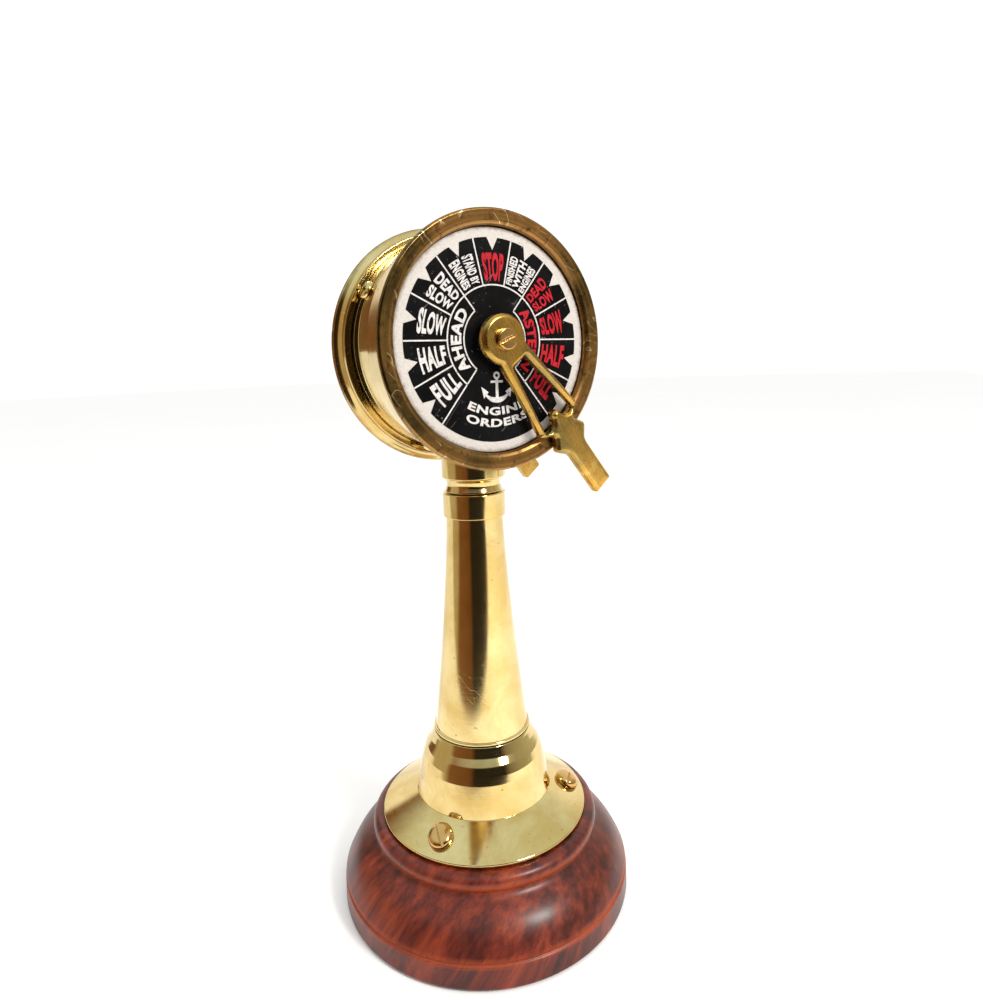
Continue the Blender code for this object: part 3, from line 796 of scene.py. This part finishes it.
# Orders by sector, counted clockwise from the top; each has its lines of text and its ink
ORDERS = {
    -5: (["FULL"], "white_ink"),
    -4: (["HALF"], "white_ink"),
    -3: (["SLOW"], "white_ink"),
    -2: (["DEAD", "SLOW"], "white_ink"),
    -1: (["STAND BY", "ENGINES"], "white_ink"),
    1: (["FINISHED", "WITH", "ENGINES"], "white_ink"),
    2: (["DEAD", "SLOW"], "red_ink"),
    3: (["SLOW"], "red_ink"),
    4: (["HALF"], "red_ink"),
    5: (["FULL"], "red_ink"),
}

# By the number of lines in a sector: degrees from line to line, and half of what a line takes
LINE_PITCH = {1: 0.0, 2: 10.8, 3: 7.9}
LINE_HALF = {1: 8.4, 2: 4.4, 3: 3.3}
STOP_HALF = 9.3
STOP_OUT_R = 25.0

# How much bolder than the font the letters are drawn, and the step in which words are bent
ORDER_BOLD = 0.04
STOP_BOLD = 0.045
TITLE_BOLD = 0.035
BEND_STEP_DEG = 2.5

# Words along the inner segments, with their ink and where they start and end on the front dial
DIRECTIONS = (("AHEAD", "white_ink", -49.5, -132), ("ASTERN", "red_ink", 47, 132))
DIRECTION_R = (11.35, 14.75)

# The title's lines at the foot of the dial: half the angle that each takes and its inner radius
TITLE = (("ENGINE", 28, 19.3), ("ORDERS", 26, 22.7))
TITLE_HEIGHT = 2.4
ANCHOR_DROP = 13.6

# Plate and print layers: how far the plate is under the dial's face, and what each layer adds
DIAL_HOLE_R = 4.3
PLATE_TOP = DIAL_FACE_W - 0.15
FIELD_TOP = PLATE_TOP + 0.07
PRINT_TOP = FIELD_TOP + 0.06
SUNK = 0.02


def polar(angle_deg, radius):
    a = radians(angle_deg)
    return radius * sin(a), radius * cos(a)


def thicken(bm, low, high):
    """Makes a flat sheet at Z = 0 into a closed layer between two heights."""
    sheet = list(bm.faces)
    bmesh.ops.translate(bm, vec=(0, 0, low), verts=bm.verts)
    grown = bmesh.ops.extrude_face_region(bm, geom=sheet, use_keep_orig=True)
    raised = [g for g in grown["geom"] if isinstance(g, bmesh.types.BMVert)]
    bmesh.ops.translate(bm, vec=(0, 0, high - low), verts=raised)


def word_sheet(word, bold, columns, rows):
    """A word as a flat mesh one unit wide and high, divided so that it can be bent."""
    curve = bpy.data.curves.new("word", "FONT")
    curve.body = word
    curve.offset = bold
    curve.space_character = 1.08
    curve.resolution_u = 5
    letters = add_object("word", curve)
    graph = bpy.context.evaluated_depsgraph_get()
    mesh = bpy.data.meshes.new_from_object(letters.evaluated_get(graph))
    bpy.data.objects.remove(letters, do_unlink=True)
    bm = bmesh.new()
    bm.from_mesh(mesh)
    bmesh.ops.remove_doubles(bm, verts=bm.verts, dist=0.0005)
    for axis in (0, 1):
        spots = [v.co[axis] for v in bm.verts]
        low, high = min(spots), max(spots)
        for v in bm.verts:
            v.co[axis] = (v.co[axis] - low) / (high - low)
    for count, along in ((columns, Vector((1, 0, 0))), (rows, Vector((0, 1, 0)))):
        for k in range(1, count):
            cut = along * (k / count)
            everything = [*bm.verts, *bm.edges, *bm.faces]
            bmesh.ops.bisect_plane(bm, geom=everything, plane_co=cut, plane_no=along, dist=1e-6)
    return bm


# How a word reads: where a point of it lies across its share of the angles and of the radii
READING = {
    "inward": lambda x, y: (y, 1 - x),
    "outward": lambda x, y: (1 - y, x),
    "over": lambda x, y: (x, y),
    "under": lambda x, y: (1 - x, 1 - y),
}


def bend(bm, style, a_low, a_high, r_low, r_high):
    """Bends a unit sheet into a share of the dial."""
    for v in bm.verts:
        across, out = READING[style](v.co.x, v.co.y)
        v.co.x, v.co.y = polar(a_low + (a_high - a_low) * across, r_low + (r_high - r_low) * out)


def merge(target, source):
    """Adds one bmesh to another and frees it."""
    spare = bpy.data.meshes.new("spare")
    source.to_mesh(spare)
    source.free()
    target.from_mesh(spare)
    bpy.data.meshes.remove(spare)


def patch(bm, a_low, a_high, r_low, r_high, steps):
    """A flat piece of a ring between two dial angles and two radii."""
    previous = None
    for i in range(steps + 1):
        a = a_low + (a_high - a_low) * i / steps
        pair = [bm.verts.new((*polar(a, r), 0)) for r in (r_low, r_high)]
        if previous:
            bm.faces.new((previous[0], pair[0], pair[1], previous[1]))
        previous = pair


def spoke(bm, angle_deg, r_low, r_high):
    """A flat radial line of even width."""
    ahead = Vector(polar(angle_deg, 1.0))
    across = Vector(polar(angle_deg + 90, LINE_W / 2))
    low, high = ahead * r_low, ahead * r_high
    corners = (low - across, low + across, high + across, high - across)
    bm.faces.new([bm.verts.new((c.x, c.y, 0)) for c in corners])


def scale_lines(bm):
    """The dividing lines: an arc and spokes for the orders, and the two inner segments."""
    half = LINE_W / 2
    patch(bm, -LAST_LINE, LAST_LINE, PRINT_MID_R - half, PRINT_MID_R + half, 180)
    for i in range(12):
        spoke(bm, (i - 5.5) * SECTOR, PRINT_MID_R + half, PRINT_EDGE_R)
    for sign in (-1, 1):
        edges = sorted((sign * FIRST_LINE, sign * LAST_LINE))
        patch(bm, *edges, PRINT_INNER_R - half, PRINT_INNER_R + half, 80)
        for edge in edges:
            spoke(bm, edge, PRINT_INNER_R + half, PRINT_MID_R - half)


def curved_quads(middle_y, start_deg, sweep_deg, outer_r, width):
    """A curved band as quads. Its width is asked for at each share of the sweep."""
    edges = []
    for k in range(17):
        a = radians(start_deg + sweep_deg * k / 16)
        radii = (outer_r - width(k / 16), outer_r)
        edges.append([(r * cos(a), middle_y + r * sin(a)) for r in radii])
    return [[*first, *reversed(second)] for first, second in zip(edges, edges[1:])]


def anchor_polygons():
    """A plain stock anchor as polygons round its own middle, +Y towards the ring."""
    ring = curved_quads(3.4, 0, 360, 1.15, lambda t: 0.65)
    arms = curved_quads(0, -158, 136, 4.5, lambda t: 0.3 + 1.3 * sin(pi * t))
    shank = [(-0.5, -3.6), (0.5, -3.6), (0.4, 2.5), (-0.4, 2.5)]
    stock = [(-2.1, 1.3), (2.1, 1.3), (2.1, 1.95), (-2.1, 1.95)]
    left = [(-5.3, 0.3), (-4.5, -3.1), (-2.9, -1.3)]
    right = [(5.3, 0.3), (2.9, -1.3), (4.5, -3.1)]
    return [*ring, shank, stock, *arms, left, right]


def union_sheet(bm, polygons, rise):
    """Adds the flat union of overlapping anticlockwise polygons, moved along Y."""
    points = [Vector(p) for polygon in polygons for p in polygon]
    faces = []
    start = 0
    for polygon in polygons:
        faces.append(list(range(start, start + len(polygon))))
        start += len(polygon)
    found = delaunay_2d_cdt(points, [], faces, 0, 1e-5, True)
    made = [bm.verts.new((v.x, v.y + rise, 0)) for v in found[0]]
    for face, owners in zip(found[2], found[5]):
        if owners:
            bm.faces.new([made[i] for i in face])
    for v in [v for v in made if not v.link_faces]:
        bm.verts.remove(v)


def add_word(layer, word, style, a_low, a_high, r_low, r_high, bold):
    over = style in ("over", "under")
    columns = max(4, int((a_high - a_low) / BEND_STEP_DEG)) if over else 1
    rows = 1 if over else max(2, int((a_high - a_low) / BEND_STEP_DEG))
    sheet = word_sheet(word, bold, columns, rows)
    bend(sheet, style, a_low, a_high, r_low, r_high)
    merge(layer, sheet)


def fill_print(layers, facing):
    """Sets all the dial's words. The rear dial runs the other way round, so facing is -1."""
    for sector, (lines, tint) in ORDERS.items():
        middle = facing * sector * SECTOR
        style = "inward" if middle < 0 else "outward"
        count = len(lines)
        for i, word in enumerate(lines):
            step = ((count - 1) / 2 - i) * LINE_PITCH[count]
            centre = middle + step if style == "inward" else middle - step
            half = LINE_HALF[count]
            span = (centre - half, centre + half)
            add_word(layers[tint], word, style, *span, WORD_IN_R, WORD_OUT_R, ORDER_BOLD)
    add_word(layers["red_ink"], "STOP", "over", -STOP_HALF, STOP_HALF, WORD_IN_R, STOP_OUT_R, STOP_BOLD)
    for word, tint, start, end in DIRECTIONS:
        low, high = sorted((facing * start, facing * end))
        add_word(layers[tint], word, "over", low, high, *DIRECTION_R, ORDER_BOLD)
    white = layers["white_ink"]
    for word, half, radius in TITLE:
        add_word(white, word, "under", 180 - half, 180 + half, radius, radius + TITLE_HEIGHT, TITLE_BOLD)
    scale_lines(white)
    union_sheet(white, anchor_polygons(), -ANCHOR_DROP)


def field_outline():
    """The black field's edge with a notch for each order, as (angle, radius) pairs."""
    points = []
    for sector in range(-5, 6):
        middle = sector * SECTOR
        points += [(middle - NOTCH_HALF_DEG, PRINT_EDGE_R), (middle, NOTCH_TIP_R),
                   (middle + NOTCH_HALF_DEG, PRINT_EDGE_R)]
        plain = SECTOR - 2 * NOTCH_HALF_DEG
        sweep = plain if sector < 5 else 360 - 10 * SECTOR - 2 * NOTCH_HALF_DEG
        steps = int(sweep / 2)
        for i in range(1, steps):
            points.append((middle + NOTCH_HALF_DEG + sweep * i / steps, PRINT_EDGE_R))
    return points


def field_mesh():
    """The black field, from the hole in the dial out to its notched edge."""
    bm = bmesh.new()
    loop = field_outline()
    inner = [bm.verts.new((*polar(a, DIAL_HOLE_R), 0)) for a, r in loop]
    outer = [bm.verts.new((*polar(a, r), 0)) for a, r in loop]
    for i in range(len(loop)):
        j = (i + 1) % len(loop)
        bm.faces.new((inner[i], inner[j], outer[j], outer[i]))
    thicken(bm, PLATE_TOP - SUNK, FIELD_TOP)
    return finish_mesh(bm)


def build_dials():
    disc = [
        (DIAL_HOLE_R, DIAL_BACK_W), (DIAL_R, DIAL_BACK_W, 0.1), (DIAL_R, PLATE_TOP, 0.1),
        (DIAL_HOLE_R, PLATE_TOP),
    ]
    for side, stand in FACES.items():
        name = side + "_dial"
        add_piece(name + "_plate", turned(disc), "dial_white", name, stand)
        add_piece(name + "_field", field_mesh(), "dial_black", name, stand, even=False)
        layers = {"white_ink": bmesh.new(), "red_ink": bmesh.new()}
        fill_print(layers, 1 if side == "front" else -1)
        for tint, layer in layers.items():
            thicken(layer, FIELD_TOP - SUNK, PRINT_TOP)
            add_piece(f"{name}_{tint}", finish_mesh(layer), tint, name, stand, even=False)


# ---------------- levers
# A lever is drawn along +u from the shaft, v is across it, and each point may name a radius.

LEVER_SIDE = [
    (29.6, 8.6, 0.7), (30.4, 8.4, 0.8), (33.2, 4.65, 1.3), (34.0, 4.6, 0.8), (37.6, 6.7, 1.0),
    (38.6, 6.2, 1.0), (41.2, 3.9, 2.0), (43.0, 3.6, 2.0), (58.0, 3.6, 0.8),
]
WINDOW_SIDE = [
    (8.2, 2.8, 0.5), (29.6, 6.3, 0.6), (31.0, 6.25, 0.7), (31.4, 4.4, 0.8), (30.6, 2.6, 1.2),
    (29.0, 1.7, 0.9), (27.6, 1.3, 0.5), (27.3, 0.0, 0.8),
]
BOSS_R = 7.3
ARM_ROOT = (5.0, 5.3)

# The rounded edge: its width, how far it drops and how it curves. Mesh points stand in rings at
# these depths from each edge, and on a grid further in.
LEVER_EDGE_W = 1.3
LEVER_EDGE_DROP = 0.95
LEVER_EDGE_POWER = 1.9
EDGE_DEPTHS = (0.1, 0.24, 0.42, 0.64, 0.88, 1.12, 1.36)
OUTLINE_STEP = 0.45
GRID_STEP = 1.1
GRID_U = (-7.5, 58.5)
GRID_V = (-8.5, 8.6)


def both_sides(side):
    """A closed loop from the half given for +v and its mirror image, counter-clockwise."""
    lower = [(u, -v, *rest) for u, v, *rest in side if v > 0]
    upper = [(u, v, *rest) for u, v, *rest in reversed(side)]
    return lower + upper


def spaced(loop, step):
    """The closed loop again, with points no farther apart than step."""
    points = []
    for i, start in enumerate(loop):
        a = Vector(start[:2])
        b = Vector(loop[(i + 1) % len(loop)][:2])
        count = max(1, ceil((b - a).length / step))
        for k in range(count):
            points.append(a.lerp(b, k / count))
    return np.array([tuple(p) for p in points])


def distances(points, loops):
    """Shortest distance from each point to any side of the loops."""
    best = np.full(len(points), 1e9)
    for loop in loops:
        a = loop
        d = np.roll(loop, -1, axis=0) - a
        length = np.maximum((d ** 2).sum(1), 1e-12)
        for k in range(len(a)):
            t = np.clip(((points - a[k]) @ d[k]) / length[k], 0, 1)
            gap = points - (a[k] + t[:, None] * d[k])
            best = np.minimum(best, np.hypot(gap[:, 0], gap[:, 1]))
    return best


def inside(points, loops):
    """Whether each point is inside the first loop and outside the holes, by crossings."""
    odd = np.zeros(len(points), bool)
    for loop in loops:
        after = np.roll(loop, -1, axis=0)
        for (ax, ay), (bx, by) in zip(loop, after):
            if ay == by:
                continue
            spans = (ay > points[:, 1]) != (by > points[:, 1])
            crossing = ax + (points[:, 1] - ay) * (bx - ax) / (by - ay)
            odd ^= spans & (points[:, 0] < crossing)
    return odd


def lever_loops():
    root_deg = degrees(atan2(ARM_ROOT[1], ARM_ROOT[0]))
    boss = arc((0, 0), BOSS_R, root_deg, 360 - root_deg, 48)
    outer = spaced(rounded(both_sides(LEVER_SIDE), 5) + boss, OUTLINE_STEP)
    window = spaced(rounded(both_sides(WINDOW_SIDE), 5), OUTLINE_STEP)
    bore = spaced(arc((0, 0), SHAFT_R + RUNNING_FIT, 0, 350, 35), 0.5)
    return [outer, window, bore]


def lever_points(loops, shaped):
    """The outlines' own points, rings of points inside the shaped edges, and a grid."""
    sets = list(loops)
    for loop in shaped:
        side = np.roll(loop, -1, axis=0) - np.roll(loop, 1, axis=0)
        normal = np.stack([-side[:, 1], side[:, 0]], 1)
        normal /= np.maximum(np.hypot(normal[:, 0], normal[:, 1]), 1e-9)[:, None]
        for depth in EDGE_DEPTHS:
            for way in (-1, 1):
                spots = loop + way * depth * normal
                kept = inside(spots, loops) & (distances(spots, shaped) > depth * 0.97)
                sets.append(spots[kept])
    u, v = np.meshgrid(np.arange(*GRID_U, GRID_STEP), np.arange(*GRID_V, GRID_STEP))
    grid = np.stack([u.ravel(), v.ravel()], 1)
    kept = inside(grid, loops) & (distances(grid, shaped) > LEVER_EDGE_W + 0.5)
    sets.append(grid[kept])
    return np.concatenate(sets)


def loop_sides(loops):
    """Each side of the loops as a pair of point numbers."""
    sides = []
    start = 0
    for loop in loops:
        count = len(loop)
        sides += [(start + k, start + (k + 1) % count) for k in range(count)]
        start += count
    return sides


def lever_mesh():
    """A flat-backed lever whose face rounds over towards every edge but the bore."""
    loops = lever_loops()
    shaped = loops[:2]
    points = [Vector(p) for p in lever_points(loops, shaped)]
    found = delaunay_2d_cdt(points, loop_sides(loops), [], 0, 1e-4, True)
    flat = np.array([tuple(p) for p in found[0]])
    triangles = np.array(found[2])
    triangles = triangles[inside(flat[triangles].mean(1), loops)]
    near = np.clip(distances(flat, shaped) / LEVER_EDGE_W, 0, 1)
    top = LEVER_FACE_W - LEVER_EDGE_DROP * (1 - near) ** LEVER_EDGE_POWER
    bm = bmesh.new()
    high = [bm.verts.new((*p, z)) for p, z in zip(flat, top)]
    low = [bm.verts.new((*p, LEVER_BACK_W)) for p in flat]
    for a, b, c in triangles:
        bm.faces.new((high[a], high[b], high[c]))
        bm.faces.new((low[c], low[b], low[a]))
    below = dict(zip(high, low))
    for edge in [e for e in bm.edges if len(e.link_faces) == 1]:
        a, b = edge.verts
        if a in below and b in below:
            bm.faces.new((a, b, below[b], below[a]))
    for v in [v for v in bm.verts if not v.link_faces]:
        bm.verts.remove(v)
    return finish_mesh(bm, 62)


# Spring washers: free height, height of the rim, and height of the dished middle
WASHER_SPACE = 1.3
WASHER_RIM = 0.6
WASHER_DISH = 1.0
TAP_R = 1.7
TAP_DEPTH = 7.0


def build_levers():
    aim = {"front": 90 - LEVER_REST_DEG, "rear": 90 + LEVER_REST_DEG}
    bore_r = SHAFT_R + RUNNING_FIT
    low = LEVER_BACK_W - WASHER_SPACE
    washer = [
        (bore_r, low, 0.1), (WASHER_R, low, 0.2), (WASHER_R, low + WASHER_RIM, 0.2),
        (bore_r, low + WASHER_DISH, 0.1),
    ]
    for side, stand in FACES.items():
        aimed = stand @ turn("Z", aim[side])
        lever = side + "_lever"
        add_piece(side + "_pointer", lever_mesh(), "lever_brass", lever, aimed, "levers", False)
        seat = aimed @ place(0, 0, LEVER_FACE_W - SEATING) @ turn("Z", 75)
        mesh = screw_mesh(LEVER_SCREW, False)
        add_piece(side + "_pointer_screw", mesh, "screw_brass", lever + "_screw", seat, "levers")
        mesh = turned(washer, 64)
        add_piece(side + "_dished_washer", mesh, "steel", side + "_spring_washer", stand, "levers")
    tap = SHAFT_HALF - TAP_DEPTH
    shaft = [
        (0, -tap), (TAP_R, -tap), (TAP_R, -SHAFT_HALF), (SHAFT_R, -SHAFT_HALF, 0.2),
        (SHAFT_R, SHAFT_HALF, 0.2), (TAP_R, SHAFT_HALF), (TAP_R, tap), (0, tap),
    ]
    add_piece("through_shaft", turned(shaft, 64), "steel", "lever_shaft", FRONT, "levers")


# ---------------- stage, light and camera

def dress_frame():
    """Gives the CAD nodes that stay in view their detailed finishes."""
    for piece in frame["nodes"].values():
        finish = piece.data.materials[0].name.split(".")[0] if piece.data.materials else "steel"
        piece.data.materials.clear()
        piece.data.materials.append(MATERIALS.get(finish, MATERIALS["steel"]))


# Edges of the table, in millimetres from the object's middle, and its two shades of paper
TABLE_TURN_DEG = -61.0
TABLE_FRONT = 215.0
TABLE_RIGHT = 750.0
TABLE_FAR = 6000.0
PAPER = ((0.90, 0.895, 0.885, 1.0), (0.91, 0.905, 0.895, 1.0))


def heading(azimuth_deg, elevation_deg=0.0):
    """A direction. Azimuth 0 is -Y and grows towards +X, and elevation is upwards."""
    a = radians(azimuth_deg)
    e = radians(elevation_deg)
    return Vector((sin(a) * cos(e), -cos(a) * cos(e), sin(e)))


def build_stage():
    """A pale matt table that runs far back, with two nearer edges for the brass to reflect."""
    front = heading(TABLE_TURN_DEG)
    right = heading(TABLE_TURN_DEG + 90)
    corners = (
        (TABLE_FRONT, TABLE_RIGHT), (TABLE_FRONT, -TABLE_FAR),
        (-TABLE_FAR, -TABLE_FAR), (-TABLE_FAR, TABLE_RIGHT),
    )
    bm = bmesh.new()
    bm.faces.new([bm.verts.new(front * ahead + right * aside) for ahead, aside in corners])
    mesh = finish_mesh(bm)
    if mesh.polygons[0].normal.z < 0:
        mesh.flip_normals()
    make = Finish(bpy.data.materials.new("table_paper"))
    colour = make.ramp(make.noise(3.0, 2.0, 0.5), [(0.3, PAPER[0]), (0.7, PAPER[1])])
    mesh.materials.append(make.surface(colour, 0.7, Specular_IOR_Level=0.0))
    add_object("table", mesh)


# Soft panels aimed at the head: azimuth, elevation, distance and side in metres, watts, colour,
# and whether the brass mirrors them
LIGHTS = {
    "key": (14, 36, 0.75, 0.18, 4.2, (1.0, 0.97, 0.92), True),
    "overhead": (120, 75, 1.0, 0.8, 1.5, (1.0, 0.99, 0.97), False),
}
LIGHT_TARGET = Vector((0, 0, 0.11))


def build_lights():
    for name, (azimuth, elevation, distance, side, watts, tint, mirrored) in LIGHTS.items():
        light = bpy.data.lights.new(name, "AREA")
        light.size = side
        light.energy = watts
        light.color = tint
        away = heading(azimuth, elevation)
        lamp = add_object(name, light)
        lamp.location = LIGHT_TARGET + away * distance
        lamp.visible_glossy = mirrored
        lamp.rotation_mode = "QUATERNION"
        lamp.rotation_quaternion = away.to_track_quat("Z", "Y")


# The room's colour level with the object, all round it; 0.5 is straight towards the camera
ROOM_TURN_DEG = 121.0
ROOM_STOPS = [
    (0.00, (1.20, 1.16, 1.05)), (0.1035, (1.15, 1.10, 0.98)), (0.108, (0.24, 0.11, 0.04)),
    (0.175, (0.20, 0.12, 0.06)), (0.20, (0.62, 0.55, 0.40)), (0.30, (0.55, 0.46, 0.30)),
    (0.325, (0.26, 0.12, 0.05)), (0.43, (0.20, 0.09, 0.035)), (0.455, (0.03, 0.025, 0.02)),
    (0.61, (0.025, 0.022, 0.018)), (0.64, (0.26, 0.22, 0.15)), (0.70, (0.42, 0.39, 0.29)),
    (0.84, (0.62, 0.60, 0.46)), (0.90, (1.15, 1.12, 1.04)),
]
WALL_TOP = 0.46
CEILING_START = 0.74
CEILING = (0.84, 0.94, 0.95, 1.0)
BACKDROP = (1.12, 1.12, 1.12, 1.0)


def build_world():
    """Walls and a bright ceiling for the brass to mirror. Camera and paper see plain white."""
    make = Finish(bpy.data.worlds.new("room"), "Generated")
    bpy.context.scene.world = make.owner
    aimed = make.mapped((1, 1, 1), (0, 0, ROOM_TURN_DEG))
    around = make.node("ShaderNodeTexGradient", {"Vector": aimed}, gradient_type="RADIAL")
    walls = make.ramp(around.outputs["Fac"], [(p, (*c, 1.0)) for p, c in ROOM_STOPS])
    rise = make.spread(make.axes()[2], WALL_TOP, CEILING_START)
    room = make.tree.nodes["Background"]
    make.feed(room, {"Color": make.blend(rise, walls, CEILING)})
    plain = make.node("ShaderNodeBackground", {"Color": BACKDROP})
    seen = make.node("ShaderNodeLightPath").outputs
    unmirrored = make.most(seen["Is Camera Ray"], seen["Is Diffuse Ray"])
    sources = {"Fac": unmirrored, 1: room.outputs["Background"], 2: plain.outputs["Background"]}
    chosen = make.node("ShaderNodeMixShader", sources)
    make.feed(make.tree.nodes["World Output"], {"Surface": chosen.outputs["Shader"]})


# The camera as fitted to the photograph: place in millimetres, angles and lens
CAMERA_PLACE = (-108.82, -180.79, 158.67)
CAMERA_YAW_DEG = -32.807
CAMERA_PITCH_DEG = -2.286
CAMERA_ROLL_DEG = -1.922
CAMERA_LENS = 24.79
CAMERA_SHIFT_Y = -0.108
CLIP_M = (0.005, 20.0)


def build_camera():
    roll = radians(CAMERA_ROLL_DEG)
    ahead = heading(180 + CAMERA_YAW_DEG, CAMERA_PITCH_DEG)
    right = heading(90 + CAMERA_YAW_DEG)
    above = right.cross(ahead)
    side = cos(roll) * right + sin(roll) * above
    top = -sin(roll) * right + cos(roll) * above
    camera = bpy.data.cameras.new("camera")
    camera.lens = CAMERA_LENS
    camera.sensor_width = 36
    camera.shift_y = CAMERA_SHIFT_Y
    camera.clip_start, camera.clip_end = CLIP_M
    stand = add_object("camera", camera)
    stand.matrix_world = place(*CAMERA_PLACE) @ Matrix((side, top, -ahead)).transposed().to_4x4()
    bpy.context.scene.camera = stand


dress_frame()
build_base()
build_foot()
build_column()
build_ferrule()
build_drum()
build_bezels()
build_bushes()
build_screws()
build_dials()
build_levers()
build_stage()
build_world()
build_lights()
build_camera()
bpy.context.scene.view_settings.view_transform = "Standard"
